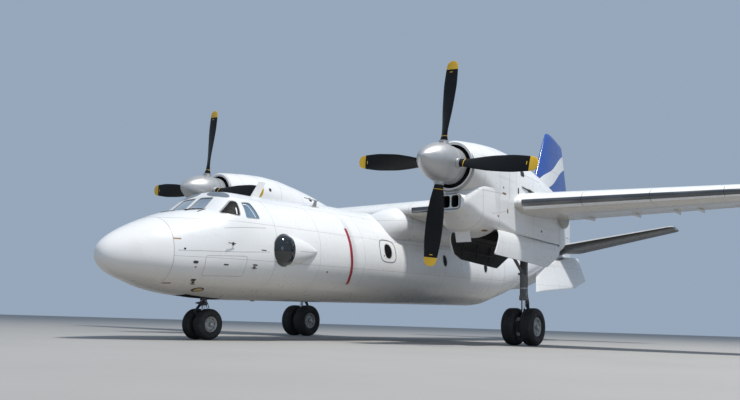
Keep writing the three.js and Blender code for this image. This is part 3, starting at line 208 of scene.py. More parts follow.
def skin_paint(name, colour=WHITE, stations=(), heights=(), levels=(), dirt=0.35, belly_shade_heights=None, underside_shade=0.0):
    """Painted sheet metal with seams at stations, along lines parallel to the belly, and at x places
    Between the belly heights a painted shade darkens the skin downwards; the underside share is the strength of a
    warm painted shade on faces turned to the ground"""
    s = Shader(name, colour, 0.3, coat=0.35)
    s.tint(s.ramp(s.noise(0.55, 5, (1, 0.35, 1)), 0.45, 0.75), [c * 0.88 for c in colour], 0.5)
    streak = s.noise(3.0, 6, (1, 0.18, 2.2), 0.65)
    s.tint(s.ramp(streak, 0.55, 0.82), GRIME, dirt)
    # Painted shade: darker and warmer from the upper belly height down to the lower one, with dirt streaks growing
    # in it
    if belly_shade_heights:
        shade_towards_belly = s.ramp(s.z, *belly_shade_heights)
        s.tint(shade_towards_belly, BELLY_SHADE, 0.62)
        s.tint(s.both(shade_towards_belly, s.ramp(streak, 0.4, 0.7)), BELLY_DIRT_AND_SHADE, 0.3)
    # Painted shade: faces turned to the ground take a warm darker tone, like the floor's bounce light
    if underside_shade:
        s.tint(s.facing_down(0.1, -0.7), UNDERSIDE_SHADE, underside_shade)
    s.tint(s.ramp(s.noise(38, 3), 0.68, 0.78), GRIME, dirt * 0.6)
    rise = s.math("SUBTRACT", s.z, s.math("MULTIPLY", s.y, BELLY_SLOPE))
    lines = [s.near(s.y, place - MIDDLE, 0.004) for place in stations]
    lines += [s.near(rise, place, 0.003) for place in heights]
    lines += [s.near(s.math("ABSOLUTE", s.x), place, 0.004) for place in levels]
    if lines:
        s.seams(lines, SEAM_SHADE, 0.55)
    s.bump(s.noise(2.2, 2), 0.006, 0.12)
    s.rough(0.24, 0.42)
    return s.material


def plain(name, colour, roughness=(0.3, 0.5), metallic=0.0, scale=9.0, wear=0.25, worn=(0.35, 0.33, 0.3),
          stretch=(1, 1, 1), shine=0.5):
    s = Shader(name, colour, 0.4, metallic, specular=shine)
    s.tint(s.ramp(s.noise(scale, 6, stretch), 0.52, 0.78), worn, wear)
    s.tint(s.ramp(s.noise(scale * 0.3, 3), 0.4, 0.7), [c * 0.7 for c in colour], 0.5)
    s.rough(*roughness, scale * 1.7, stretch)
    s.bump(s.noise(scale * 5, 3), 0.0015, 0.15)
    return s.material


# Meshes

def curve(places, values, wanted):
    """Smooth monotone curve through points"""
    places, values, wanted = (np.asarray(v, float) for v in (places, values, wanted))
    gaps = np.diff(places)
    steps = np.diff(values) / gaps
    slopes = np.zeros_like(places)
    for i in range(1, len(places) - 1):
        if steps[i - 1] * steps[i] > 0:
            before, after = 2 * gaps[i] + gaps[i - 1], gaps[i] + 2 * gaps[i - 1]
            slopes[i] = (before + after) / (before / steps[i - 1] + after / steps[i])
    slopes[0], slopes[-1] = steps[0], steps[-1]
    k = np.clip(np.searchsorted(places, wanted, side="right") - 1, 0, len(gaps) - 1)
    t = (wanted - places[k]) / gaps[k]
    return (
        values[k] * (2 * t**3 - 3 * t**2 + 1)
        + slopes[k] * gaps[k] * (t**3 - 2 * t**2 + t)
        + values[k + 1] * (3 * t**2 - 2 * t**3)
        + slopes[k + 1] * gaps[k] * (t**3 - t**2)
    )


def smooth_rows(table, wanted, breaks=()):
    """Rows of a table at the wanted places, smooth apart from a crease at each break"""
    table, wanted = np.asarray(table, float), np.asarray(wanted, float)
    edges = [table[0, 0] - 1, *breaks, table[-1, 0] + 1]
    out = np.zeros((len(wanted), table.shape[1]))
    out[:, 0] = wanted
    for low, high in zip(edges[:-1], edges[1:]):
        rows = table[(table[:, 0] >= low - 1e-9) & (table[:, 0] <= high + 1e-9)]
        here = (wanted >= low - 1e-9) & (wanted <= high + 1e-9)
        for column in range(1, table.shape[1]):
            out[here, column] = curve(rows[:, 0], rows[:, column], wanted[here])
    return out


def settle(thing, sharp):
    """Faces outward, smooth shading with creases at sharp edges"""
    mesh = thing.data
    work = bmesh.new()
    work.from_mesh(mesh)
    bmesh.ops.remove_doubles(work, verts=work.verts, dist=1e-6)
    bmesh.ops.recalc_face_normals(work, faces=work.faces)
    work.to_mesh(mesh)
    work.free()
    mesh.shade_smooth()
    mesh.set_sharp_from_angle(angle=math.radians(sharp))


def make(name, points, faces, *materials, sharp=38):
    mesh = bpy.data.meshes.new(name)
    mesh.from_pydata([tuple(p) for p in points], [], [tuple(int(i) for i in f) for f in faces])
    for material in materials:
        mesh.materials.append(material)
    thing = bpy.data.objects.new(name, mesh)
    bpy.context.scene.collection.objects.link(thing)
    settle(thing, sharp)
    return thing


def ring_faces(a, b, count):
    """Quads between the ring of points that starts at a and the one that starts at b"""
    return [(a + i, a + (i + 1) % count, b + (i + 1) % count, b + i) for i in range(count)]


def loop_faces(rows, count):
    return [face for r in range(rows) for face in ring_faces(r * count, (r + 1) % rows * count, count)]


def many_lofts(name, lofts, *materials, sharp=38):
    """One object of several closed lofts"""
    points, faces = [], []
    for rings in lofts:
        rings = np.asarray(rings, float)
        rows, count, _ = rings.shape
        first, last = len(points), len(points) + (rows - 1) * count
        for a in range(first, last, count):
            faces += ring_faces(a, a + count, count)
        faces += [tuple(range(first + count - 1, first - 1, -1)), tuple(range(last, last + count))]
        points += list(rings.reshape(-1, 3))
    return make(name, points, faces, *materials, sharp=sharp)


def loft(name, rings, *materials, sharp=38):
    return many_lofts(name, [rings], *materials, sharp=sharp)


def join(name, things):
    """Several objects made into one"""
    target = things[0]
    work = bmesh.new()
    materials = []
    for thing in things:
        slots = []
        for material in thing.data.materials:
            if material not in materials:
                materials.append(material)
            slots.append(materials.index(material))
        first = len(work.faces)
        work.from_mesh(thing.data)
        work.faces.ensure_lookup_table()
        for face in work.faces[first:]:
            face.material_index = slots[face.material_index] if slots else 0
    mesh = bpy.data.meshes.new(name)
    work.to_mesh(mesh)
    work.free()
    for material in materials:
        mesh.materials.append(material)
    for thing in things[1:]:
        bpy.data.objects.remove(thing)
    target.data = mesh
    target.name = name
    return target


def carve(thing, cutters, operation="DIFFERENCE", sharp=30):
    for cutter in cutters:
        change = thing.modifiers.new("cut", "BOOLEAN")
        change.operation, change.solver, change.material_mode = operation, "EXACT", "TRANSFER"
        change.object = cutter
    depsgraph = bpy.context.evaluated_depsgraph_get()
    mesh = bpy.data.meshes.new_from_object(thing.evaluated_get(depsgraph))
    thing.modifiers.clear()
    thing.data = mesh
    for cutter in cutters:
        bpy.data.objects.remove(cutter)
    settle(thing, sharp)


PLANES = {
    "side": lambda a, b, deep: at(deep, a, b),
    "plan": at,
    "front": lambda a, b, deep: at(a, deep, b),
}


def prism(outline, plane, low, high, finish):
    """Prism over an outline: plane side is [station, z], plan is [x, station], front is [x, z]"""
    return loft("cut", [[PLANES[plane](a, b, deep) for a, b in outline] for deep in (low, high)], finish)


def rod(a, b, radius, end=None, sides=28):
    """Rings of a round bar from a to b"""
    a, b = np.asarray(a, float), np.asarray(b, float)
    return turned_rings([(radius, 0), (radius if end is None else end, np.linalg.norm(b - a))], a, b - a, sides)


def pin(x, station, z, half, radius, sides):
    """Rings of a round bar that lies across the aircraft"""
    return rod(at(x - half, station, z), at(x + half, station, z), radius, sides=sides)


def turned_rings(profile, centre, axis, sides):
    """Rings of a solid of revolution: profile of [radius, distance along the axis]"""
    centre, axis = np.asarray(centre, float), np.asarray(axis, float)
    axis = axis / np.linalg.norm(axis)
    helper = np.array([0, 0, 1.0]) if abs(axis[2]) < 0.9 else np.array([1.0, 0, 0])
    u = np.cross(helper, axis)
    u /= np.linalg.norm(u)
    v = np.cross(axis, u)
    angles = circle(sides)
    around = np.cos(angles)[:, None] * u + np.sin(angles)[:, None] * v
    return np.array([centre + axis * along + around * max(radius, 1e-4) for radius, along in profile])


def turned_loop(profile, centre, axis, sides):
    """Points and faces of a ring: a closed profile swept round an axis"""
    rings = turned_rings(profile, centre, axis, sides)
    return list(rings.reshape(-1, 3)), loop_faces(len(rings), sides)


def tube(points, radius, sides):
    """Rings of a bent tube through points"""
    points = np.asarray(points, float)
    angles = circle(sides)
    rings = []
    normal = None
    for i, point in enumerate(points):
        way = points[min(i + 1, len(points) - 1)] - points[max(i - 1, 0)]
        way = way / np.linalg.norm(way)
        if normal is None:
            normal = np.cross(way, [0.3, 0.5, 0.81])
        normal = normal - way * normal.dot(way)
        normal /= np.linalg.norm(normal)
        other = np.cross(way, normal)
        rings.append(point + radius * (np.cos(angles)[:, None] * normal + np.sin(angles)[:, None] * other))
    return np.array(rings)


def closed_tube(points, radius, sides):
    """Points and faces of a tube along a closed line"""
    points = np.asarray(points, float)
    verts = []
    for i, point in enumerate(points):
        way = points[(i + 1) % len(points)] - points[i - 1]
        way /= np.linalg.norm(way)
        u = np.cross(way, [1.0, 0, 0])
        u /= np.linalg.norm(u)
        v = np.cross(way, u)
        verts += [point + radius * (math.cos(a) * u + math.sin(a) * v) for a in circle(sides)]
    return verts, loop_faces(len(points), sides)


def place(thing, body, slot, *nodes):
    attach(thing, body)
    if nodes:
        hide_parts(*nodes)


def fix(thing, slot, *nodes):
    place(thing, "airframe", slot, *nodes)


def build(name, lofts, finish, slot="gear_metal", *nodes):
    """Several closed lofts as one piece of the airframe"""
    fix(many_lofts(name, lofts, finish), slot, *nodes)


def lay(name, parts, finish, slot="gear_metal"):
    """Plates and strips as one piece of the airframe"""
    fix(laid(name, parts, finish), slot)


def sided(rings, side):
    """Rings drawn for the port side, or their mirror image in the aircraft's middle plane"""
    return np.asarray(rings, float) * np.array([side, 1, 1])


def rounded(outline, radius, steps=5):
    """Outline with its corners rounded off"""
    points = [np.asarray(p, float) for p in outline]
    out = []
    for i, corner in enumerate(points):
        before, after = points[i - 1] - corner, points[(i + 1) % len(points)] - corner
        cut = min(radius, np.linalg.norm(before) * 0.45, np.linalg.norm(after) * 0.45)
        a = corner + before / np.linalg.norm(before) * cut
        b = corner + after / np.linalg.norm(after) * cut
        for t in np.linspace(0, 1, steps):
            out.append((1 - t) ** 2 * a + 2 * t * (1 - t) * corner + t**2 * b)
    return out


def oval(centre, half, tall, steps=28, power=2.0):
    out = []
    for angle in circle(steps):
        c, s = math.cos(angle), math.sin(angle)
        out.append((
            centre[0] + half * math.copysign(abs(c) ** (2 / power), c),
            centre[1] + tall * math.copysign(abs(s) ** (2 / power), s),
        ))
    return out


# Shapes laid on a surface, found by casting rays onto it: where a ray starts and which way it goes

LOOKS = {
    "port": lambda a, b: (at(9, a, b), (-1, 0, 0)),
    "starboard": lambda a, b: (at(-9, a, b), (1, 0, 0)),
    "front": lambda a, b: (np.array([a, -30, b], float), (0, 1, 0)),
    "top": lambda a, b: (at(a, b, 20), (0, 0, -1)),
    "bottom": lambda a, b: (at(a, b, -5), (0, 0, 1)),
}


class Surface:
    """Surface of a mesh, on which plates and strips are laid"""

    def __init__(self, thing):
        work = bmesh.new()
        work.from_mesh(thing.data)
        self.tree = BVHTree.FromBMesh(work)
        work.free()

    def hit(self, look, a, b):
        origin, way = LOOKS[look](a, b)
        point, normal, _, _ = self.tree.ray_cast(Vector(origin), Vector(way))
        return None if point is None else (np.array(point), np.array(normal))

    def sheet(self, grid, look, lift, sink):
        """Upper and lower points of a thin closed plate over a grid
        Where a ray finds no surface, both take the place of the upper point before"""
        upper, lower = [], []
        for a, b in grid:
            found = self.hit(look, a, b)
            if found is None:
                spot = upper[-1] if upper else at(0, a, b)
                upper.append(spot)
                lower.append(spot)
            else:
                point, normal = found
                upper.append(point + normal * lift)
                lower.append(point - normal * sink)
        return upper, lower

    def plate(self, outline, look, lift, sink, layers=5, step=0.06):
        """Points and faces of a plate with this outline, laid on the surface"""
        edge = resample(outline, step, True)
        middle = np.mean(edge, axis=0)
        count = len(edge)
        shares = np.linspace(1, 0, layers + 1)[:-1]
        grid = [middle + (p - middle) * k for k in shares for p in edge] + [middle]
        upper, lower = self.sheet(grid, look, lift, sink)
        total, last = len(grid), (layers - 1) * count
        top = [face for a in range(0, last, count) for face in ring_faces(a, a + count, count)]
        top += [(last + i, last + (i + 1) % count, total - 1) for i in range(count)]
        faces = top + [tuple(total + k for k in face[::-1]) for face in top]
        faces += [((i + 1) % count, i, total + i, total + (i + 1) % count) for i in range(count)]
        return upper + lower, faces

    def strip(self, path, width, look, lift=0.0012, sink=0.004, closed=False, step=0.05):
        """Points and faces of a narrow band along a path, laid on the surface"""
        line = resample(path, step, closed)
        count = len(line)
        left, right = [], []
        for i, p in enumerate(line):
            before = line[i - 1] if closed or i else p
            after = line[(i + 1) % count] if closed or i < count - 1 else p
            way = (after - before) / max(np.linalg.norm(after - before), 1e-9)
            side = np.array([-way[1], way[0]]) * width / 2
            left.append(p + side)
            right.append(p - side)
        upper, lower = self.sheet(left + right, look, lift, sink)
        total = 2 * count
        faces = []
        for i in range(count if closed else count - 1):
            j = (i + 1) % count
            quad = (i, j, count + j, count + i)
            faces += [quad, tuple(total + k for k in quad[::-1]), (j, i, total + i, total + j),
                      (count + i, count + j, total + count + j, total + count + i)]
        if not closed:
            faces += [(i, count + i, total + count + i, total + i) for i in (0, count - 1)]
        return upper + lower, faces


def resample(outline, step, closed):
    points = [np.asarray(p, float) for p in outline]
    ends = points[1:] + ([points[0]] if closed else [])
    out = []
    for a, b in zip(points, ends):
        parts = max(1, int(math.ceil(np.linalg.norm(b - a) / step)))
        out += [a + (b - a) * k / parts for k in range(parts)]
    return out if closed else out + [points[-1]]


def laid(name, parts, *materials, sharp=50):
    """One object of several plates and strips"""
    points, faces = [], []
    for some, some_faces in parts:
        faces += [tuple(len(points) + i for i in face) for face in some_faces]
        points += list(some)
    return make(name, points, faces, *materials, sharp=sharp)

# Finishes

FRAMES = (1.55, 3.88, 5.3, 7.0, 8.9, 10.9, 12.9, 14.85, 16.7, 18.4, 20.2, 21.9)
WING_PAINT = (0.78, 0.79, 0.79)
# Where a skin is given belly heights and an underside share, its lower part and underside are darkened by painted
# shade
WHITE_SKIN = skin_paint("white_skin", stations=FRAMES, heights=(1.12, 1.93, 2.72, 3.3), dirt=0.16,
                        belly_shade_heights=(1.5, 0.95), underside_shade=0.4)
NOSE_SKIN = skin_paint("nose_skin", (0.83, 0.83, 0.83), dirt=0.1, belly_shade_heights=(1.55, 1.05), underside_shade=0.4)
WING_SKIN = skin_paint("wing_skin", WING_PAINT, levels=(1.6, 3.3, 4.7, 6.2, 7.7, 9.13, 10.8, 12.5, 14.0),
                       dirt=0.3, underside_shade=0.75)
NACELLE_SKIN = skin_paint("nacelle_skin", (0.78, 0.79, 0.8), (7.34, 8.02, 8.9, 9.9, 11.6), dirt=0.42, underside_shade=0.5)
PALE_GREY = skin_paint("pale_grey", (0.5, 0.5, 0.49), dirt=0.4)
DARK_SEAL = plain("dark_seal", (0.03, 0.03, 0.032), (0.5, 0.7), wear=0.1)
LINE_INK = plain("line_ink", (0.45, 0.45, 0.46), (0.5, 0.65), wear=0.2)
PANE_SEAL = plain("pane_seal", (0.34, 0.345, 0.355), (0.5, 0.65), wear=0.2)
# Near black for the walls of bays, openings and holes and the inner faces of the bay doors: painted shade
BAY_SHADE = plain("bay_shade", (0.022, 0.023, 0.024), (0.6, 0.8), wear=0.15, worn=(0.08, 0.08, 0.075))
# Near black for the walls round the window openings: painted shade of the dark inside
COCKPIT_SHADE = plain("cockpit_shade", (0.01, 0.01, 0.011), (0.6, 0.8), wear=0.1)
SILVER = plain("silver", (0.5, 0.505, 0.51), (0.36, 0.46), metallic=0.55, worn=(0.4, 0.385, 0.36), wear=0.16,
               scale=4)
COWL_LIP = plain("cowl_lip", (0.34, 0.345, 0.35), (0.25, 0.4), metallic=0.7, wear=0.4)
EDGE_METAL = plain("edge_metal", (0.13, 0.135, 0.145), (0.16, 0.3), metallic=0.9, wear=0.35, scale=3,
                   worn=(0.3, 0.3, 0.3), stretch=(0.3, 1, 1))
BLADE_BLACK = plain("blade_black", (0.006, 0.0065, 0.0075), (0.36, 0.5), wear=0.12, worn=(0.03, 0.032, 0.035),
                    shine=0.22)
BLADE_YELLOW = plain("blade_yellow", (0.86, 0.52, 0.03), (0.35, 0.5), wear=0.15, worn=(0.45, 0.3, 0.06))
GEAR_GREY = plain("gear_grey", (0.16, 0.165, 0.17), (0.35, 0.55), wear=0.4, worn=(0.07, 0.065, 0.06))
GEAR_DARK = plain("gear_dark", (0.05, 0.052, 0.055), (0.35, 0.55), wear=0.4, worn=(0.12, 0.11, 0.1))
CHROME = plain("chrome", (0.7, 0.7, 0.72), (0.06, 0.14), metallic=1.0, wear=0.1)
WHEEL_METAL = plain("wheel_metal", (0.4, 0.41, 0.4), (0.3, 0.5), metallic=0.3, wear=0.4, worn=(0.12, 0.11, 0.1))
RUBBER = plain("rubber", (0.022, 0.022, 0.023), (0.6, 0.85), wear=0.4, worn=(0.07, 0.065, 0.06))
RED_BAND = plain("red_band", (0.4, 0.022, 0.035), (0.3, 0.45), wear=0.12, worn=(0.6, 0.3, 0.3))
RED_GLASS = plain("red_glass", (0.5, 0.01, 0.01), (0.05, 0.1), wear=0.02)
LAMP_GLASS = plain("lamp_glass", (0.75, 0.78, 0.8), (0.04, 0.08), wear=0.05)
BRONZE = plain("bronze", (0.3, 0.17, 0.08), (0.4, 0.6), metallic=0.5)
ENGINE_DARK = plain("engine_dark", (0.06, 0.06, 0.06), (0.5, 0.7), metallic=0.6)
RIB_DARK = plain("rib_dark", (0.045, 0.043, 0.04), (0.45, 0.65), wear=0.4, worn=(0.12, 0.1, 0.08))
SEAL_GREY = plain("seal_grey", (0.2, 0.2, 0.21), (0.4, 0.6), wear=0.2)
WHITE_TRIM = plain("white_trim", (0.74, 0.75, 0.76), (0.3, 0.45), wear=0.3, worn=(0.4, 0.37, 0.33))
PROBE_METAL = plain("probe_metal", (0.12, 0.11, 0.1), (0.3, 0.5), metallic=0.6, wear=0.3)
# Mid grey for the flap fairing under the wing: painted shade
FAIRING_SHADE = plain("fairing_shade", (0.42, 0.41, 0.39), (0.35, 0.55), wear=0.4)
AMBER_GLASS = plain("amber_glass", (0.42, 0.31, 0.16), (0.06, 0.12), wear=0.1)
ROOF_GLASS = plain("roof_glass", (0.16, 0.19, 0.23), (0.05, 0.12), wear=0.1)
GREEN_GLASS = plain("green_glass", (0.01, 0.35, 0.12), (0.05, 0.1), wear=0.02)
# Black sheet in the open side window and the cabin windows: painted shade of the dark inside
INSIDE_SHADE_BLACK = plain("inside_shade_black", (0.006, 0.006, 0.007), (0.45, 0.6), wear=0.05, shine=0.12)


def glass(name, colour, clear, reflection_share):
    """Tinted pane with paler soft patches of painted reflection"""
    s = Shader(name, colour, 0.06, coat=0.6, specular=0.6)
    # Painted reflection: the clear colour mixed in soft patches
    s.tint(s.ramp(s.noise(1.4, 1, (1, 1, 0.6)), 0.4, 0.62), clear, reflection_share)
    s.rough(0.03, 0.09)
    return s.material


# Each pane's second colour is its painted reflection
PANE_CLEAR = glass("pane_clear", (0.13, 0.18, 0.24), (0.5, 0.58, 0.66), 0.6)
PANE_BLUE = glass("pane_blue", (0.09, 0.16, 0.24), (0.2, 0.3, 0.4), 0.5)
DOME_GLASS = glass("dome_glass", (0.006, 0.008, 0.01), (0.05, 0.055, 0.06), 0.25)


# Fuselage: station, belly, crown, half width, widest height, roundness of the top
# The heights are above the belly line

BODY_ROWS = (
    (0.44, 0.815, 0.875, 0.035, 0.845, 2), (0.82, 0.434, 1.3, 0.45, 0.844, 2.05),
    (1.17, 0.324, 1.482, 0.68, 0.842, 2.15), (1.55, 0.21, 1.641, 0.885, 0.83, 2.3),
    (2.02, 0.117, 1.804, 1.07, 0.847, 2.7), (2.52, 0.059, 1.91, 1.22, 0.904, 3.2),
    (2.84, 0.031, 2.198, 1.27, 0.946, 3), (3.05, 0.014, 2.345, 1.31, 0.979, 2.7),
    (3.52, 0, 2.385, 1.38, 1.008, 2.3), (4.3, 0, 2.4, 1.435, 1.04, 2.05),
    (6.4, 0, 2.5, 1.45, 1.05, 2), (14.6, 0, 2.5, 1.45, 1.05, 2),
    (16, 0.33, 2.5, 1.39, 1.2, 2), (17.5, 0.76, 2.5, 1.22, 1.48, 2),
    (19, 1.17, 2.49, 1, 1.75, 2), (20.5, 1.54, 2.46, 0.76, 1.96, 2),
    (22, 1.85, 2.4, 0.48, 2.1, 2), (22.9, 2.01, 2.33, 0.26, 2.16, 2),
    (23.5, 2.11, 2.27, 0.09, 2.19, 2),
)
SCREEN_BASE = 2.52
NOSE_TIP, BLUNT_END, RADOME_END = 0.44, 1.17, 1.55
LOBE_POWER = 2.2


def blunt_rows(stations):
    """Rows ahead of the radome's end, rounded at the nose: smooth in the square root of the distance"""
    def root(station):
        return np.sqrt(np.maximum(np.asarray(station, float) - NOSE_TIP, 0))
    table = np.array([row for row in BODY_ROWS if row[0] <= 2.03])
    rows = smooth_rows(np.column_stack([root(table[:, 0]), table[:, 1:]]), root(stations))
    return np.column_stack([stations, rows[:, 1:]])


def body_rings(stations, inset=0.0):
    rows = smooth_rows(BODY_ROWS, stations, (SCREEN_BASE, 6.4, 14.6))
    nose = rows[:, 0] < BLUNT_END
    if nose.any():
        rows[nose] = blunt_rows(rows[nose, 0])
    c, s = np.cos(circle(112)), np.sin(circle(112))
    rings = []
    for station, belly, crown, half, waist, roundness in rows:
        power = np.where(s > -1e-9, 2 / roundness, 2 / LOBE_POWER)
        reach = np.where(s > -1e-9, crown - waist - inset, waist - belly - inset)
        x = (half - inset) * np.sign(c) * np.abs(c) ** power
        z = belly_line(station) + waist + reach * np.sign(s) * np.abs(s) ** power
        rings.append(np.stack([x, np.full_like(x, station - MIDDLE), z], 1))
    return np.array(rings)


BODY_STATIONS = np.unique(np.round(np.concatenate([
    NOSE_TIP + (BLUNT_END - NOSE_TIP) * np.linspace(0, 1, 26) ** 2, np.linspace(1.2, 1.5, 7), [RADOME_END],
    np.linspace(1.6, 3.6, 41), np.linspace(3.7, 6.4, 16), np.linspace(6.9, 14.6, 18),
    np.linspace(14.9, 23.5, 46), [SCREEN_BASE],
]), 4))


# Window outlines: from the front as [x, z], from the side as [station, z]
WINDSCREEN = [(0.062, 2.7), (0.545, 2.69), (0.472, 3.022), (0.072, 3.036)]
SIDE_PANE = [(2.58, 2.632), (2.96, 2.605), (3.02, 2.925), (2.915, 2.94)]
REAR_PANE = [(3.115, 2.585), (3.485, 2.605), (3.41, 2.955), (3.145, 2.925)]
EXIT = oval((8.02, 2.335), 0.35, 0.29, 36, 3.4)
EXIT_PANE = oval((8.03, 2.335), 0.165, 0.19, 32, 2.3)
CABIN_PANES = [EXIT_PANE, *(oval((station, 2.335), 0.11, 0.165, 28, 2.4) for station in (10.9, 13.4))]
CREW_DOOR = rounded([(4.95, 1.32), (5.72, 1.32), (5.72, 2.78), (4.95, 2.78)], 0.12)
TROOP_DOOR = rounded([(13.85, 1.22), (14.75, 1.22), (14.75, 3.02), (13.85, 3.02)], 0.12)
NOSE_HATCH = rounded([(2.16, 1.3), (3.1, 1.345), (3.1, 1.765), (2.16, 1.7)], 0.05)
RAMP_SEAM = [(-1.05, 14.9), (1.05, 14.9), (0.78, 19.0), (-0.78, 19.0)]


def grow(outline, by):
    points = [np.asarray(p, float) for p in outline]
    middle = np.mean(points, axis=0)
    return [middle + (p - middle) * (1 + by / np.linalg.norm(p - middle)) for p in points]


def screen(side):
    return [(side * x, z) for x, z in rounded(WINDSCREEN, 0.05)]


def repaint(thing, finish, wanted):
    """Another finish for the faces that are wanted"""
    thing.data.materials.append(finish)
    for face in thing.data.polygons:
        if wanted(face):
            face.material_index = len(thing.data.materials) - 1


def fuselage():
    body = loft("fuselage_skin", body_rings(BODY_STATIONS), WHITE_SKIN, sharp=30)
    skin = Surface(body)
    cutters = []
    # The window cuts' walls take a near black: painted shade
    for _, side in SIDES:
        cutters.append(prism(screen(side), "front", 2.4, 3.25, COCKPIT_SHADE))
        cutters += [prism(rounded(outline, 0.05), "side", side * 0.86, side * 1.6, COCKPIT_SHADE)
                    for outline in (SIDE_PANE, REAR_PANE)]
        cutters += [prism(spot, "side", side * 1.3, side * 1.6, COCKPIT_SHADE) for spot in CABIN_PANES]
    # Nose wheel bay, its walls near black: painted shade
    nose_bay = [(-0.33, 2.35), (0.33, 2.35), (0.33, 3.33), (-0.33, 3.33)]
    carve(body, [*cutters, prism(nose_bay, "plan", 0.5, 1.35, BAY_SHADE)])
    repaint(body, NOSE_SKIN, lambda face: face.center.y < RADOME_END - MIDDLE and face.material_index == 0)
    fix(body, "white_paint", "fuselage", "radome", "cargo_ramp")
    return skin


def window(pane, seal, outline, look, finish, node, rim=0.006):
    fix(laid(pane, [SKIN.plate(outline, look, -0.012, 0.022)], finish), "window_glass", node)
    lay(seal, [SKIN.strip(grow(outline, rim), 0.018, look, 0.002, 0.01, True, 0.08)], PANE_SEAL)


def windows():
    for name, side in SIDES:
        window("windscreen_" + name, "windscreen_seal_" + name, screen(side), "front", PANE_CLEAR,
               "windshield_" + name, 0.008)
        # The side window is a black sheet: painted shade inside the open window
        for label, outline, finish in (("side_window_", SIDE_PANE, INSIDE_SHADE_BLACK),
                                       ("rear_side_window_", REAR_PANE, PANE_BLUE)):
            window(label + "pane_" + name, label + "seal_" + name, rounded(outline, 0.05), name, finish,
                   label + name)
        for i, spot in enumerate(CABIN_PANES):
            # Cabin windows are black sheets: painted shade of the dark cabin
            lay(f"cabin_window_{i}_{name}", [SKIN.plate(spot, name, -0.02, 0.01)], INSIDE_SHADE_BLACK, "window_glass")
            lay(f"cabin_window_seal_{i}_{name}",
                [SKIN.strip(grow(spot, 0.006), 0.02, name, 0.002, 0.01, True, 0.08)], PALE_GREY, "white_paint")


make_camera()
SKIN = fuselage()
windows()


# Wing, with the same rows as the part's source

KINK = 3.95
HALF_SPAN = 14.6
WING_JOINT = 4.72
CAMBER = 0.032
WING_LEAD, SWEEP = 8.65, 0.173
WING_LEVEL, DIHEDRAL = 3.49, 0.008


def chord_at(x):
    return np.interp(abs(x), (0, KINK, HALF_SPAN), (3.5, 3.5, 1.095))


def leading_at(x):
    return WING_LEAD + SWEEP * max(0, abs(x) - KINK)


def wing_height(x):
    return WING_LEVEL + DIHEDRAL * max(0, abs(x) - KINK)


def thickness_at(x):
    return np.interp(abs(x), (KINK, HALF_SPAN), (0.175, 0.15))


def foil_half(share, thickness):
    share = np.asarray(share, float)
    return 5 * thickness * (0.2969 * np.sqrt(share) - 0.126 * share - 0.3516 * share**2
                            + 0.2843 * share**3 - 0.1015 * share**4)


# Thickness of a foil's rear edge
REAR_EDGE = 0.008


def foil_part(chord, thickness, camber, start=0.0, end=1.0, hollow=0.0):
    """[distance aft, height] points of the stretch of a foil between two shares of its chord
    A hollow is the radius of a round trough in the rear face, for the nose of a hinged surface"""
    shares = start + (end - start) * (1 - np.cos(np.linspace(0, math.pi, 26))) / 2
    if start > 0.3:
        shares = np.linspace(start, end, 26)
    middle = 4 * camber * shares * (1 - shares) * chord
    half = foil_half(shares, thickness) * chord + REAR_EDGE / 2 * shares
    upper = np.stack([shares * chord, middle + half], 1)
    lower = np.stack([shares * chord, middle - half], 1)
    trough = []
    if hollow:
        low, high = lower[-1], upper[-1]
        for t in np.linspace(0, math.pi, 9)[1:-1]:
            spot = (low + high) / 2 + (low - high) / 2 * math.cos(t)
            trough.append(spot - np.array([hollow * math.sin(t), 0]))
    top = upper[::-1] if start > 0 else upper[::-1][:-1]
    return np.array([*top, *lower, *trough])


def wing_rings(places, start=0.0, end=1.0, hollow=0.0, scales=None):
    rings = []
    for x, scale in zip(places, scales or [1] * len(places)):
        chord = chord_at(x)
        points = foil_part(chord * scale, thickness_at(x), CAMBER, start, end, hollow * chord)
        lead = leading_at(x) + chord * (1 - scale) * 0.6
        rings.append([at(x, lead + aft, wing_height(x) + up) for aft, up in points])
    return np.array(rings)


def spread(low, high):
    """Places along the span, at most half a metre apart"""
    return np.linspace(low, high, max(2, int(math.ceil(abs(high - low) / 0.5)) + 1))


# Shares of the chord at which the leading edge ends and the flaps and ailerons begin
SLAT = 0.055
BOX_REAR = 0.7 - 0.001
AILERON_SPAN = (9.15, 14.15)
TIP_PLACES = (14.15, 14.25, 14.36, 14.45, 14.52, 14.56, 14.585, 14.6)
TIP_SCALES = (1, 1, 0.985, 0.95, 0.89, 0.82, 0.7, 0.56)


def wing():
    lofts = [wing_rings([-WING_JOINT, -KINK, -1.5, 0, 1.5, KINK, WING_JOINT], 0, BOX_REAR)]
    for low, high in ((-WING_JOINT, -3.2305), (-1.6995, 1.6995), (3.2305, WING_JOINT)):
        inside = [x for x in (-KINK, 0, KINK) if low < x < high]
        lofts.append(wing_rings([low, *inside, high], BOX_REAR, 1.0))
    middle = many_lofts("wing_middle", lofts, WING_SKIN)
    build("wing_pads", [rod(at(side * 2.5, 9.9, 3.26), at(side * 2.5, 9.9, 3.34), 0.045) for side in (1, -1)],
          GEAR_GREY)
    fix(middle, "white_paint", "wing_center")
    inner = WING_JOINT + 0.0005
    low, high = AILERON_SPAN
    for name, side in SIDES:
        lofts = [
            wing_rings([inner, 4.7995], 0, SLAT),
            wing_rings([14.0005, high], 0, SLAT),
            wing_rings(spread(inner, low), SLAT, BOX_REAR),
            wing_rings([inner, WING_JOINT + 0.0595], BOX_REAR, 1.0),
            wing_rings([9.0805, low], BOX_REAR, 1.0),
            wing_rings(spread(low, high), SLAT, 0.698, 0.03),
            wing_rings(TIP_PLACES, 0, 1.0, 0, TIP_SCALES),
        ]
        build("wing_outer_" + name, [sided(r, side) for r in lofts], WING_SKIN, "white_paint",
              "outer_wing_" + name)
        edge = loft("wing_edge_" + name, sided(wing_rings(spread(4.8, 14.0), 0, SLAT), side), EDGE_SKIN)
        fix(edge, "polished_edge", "leading_edge_" + name)
    return middle


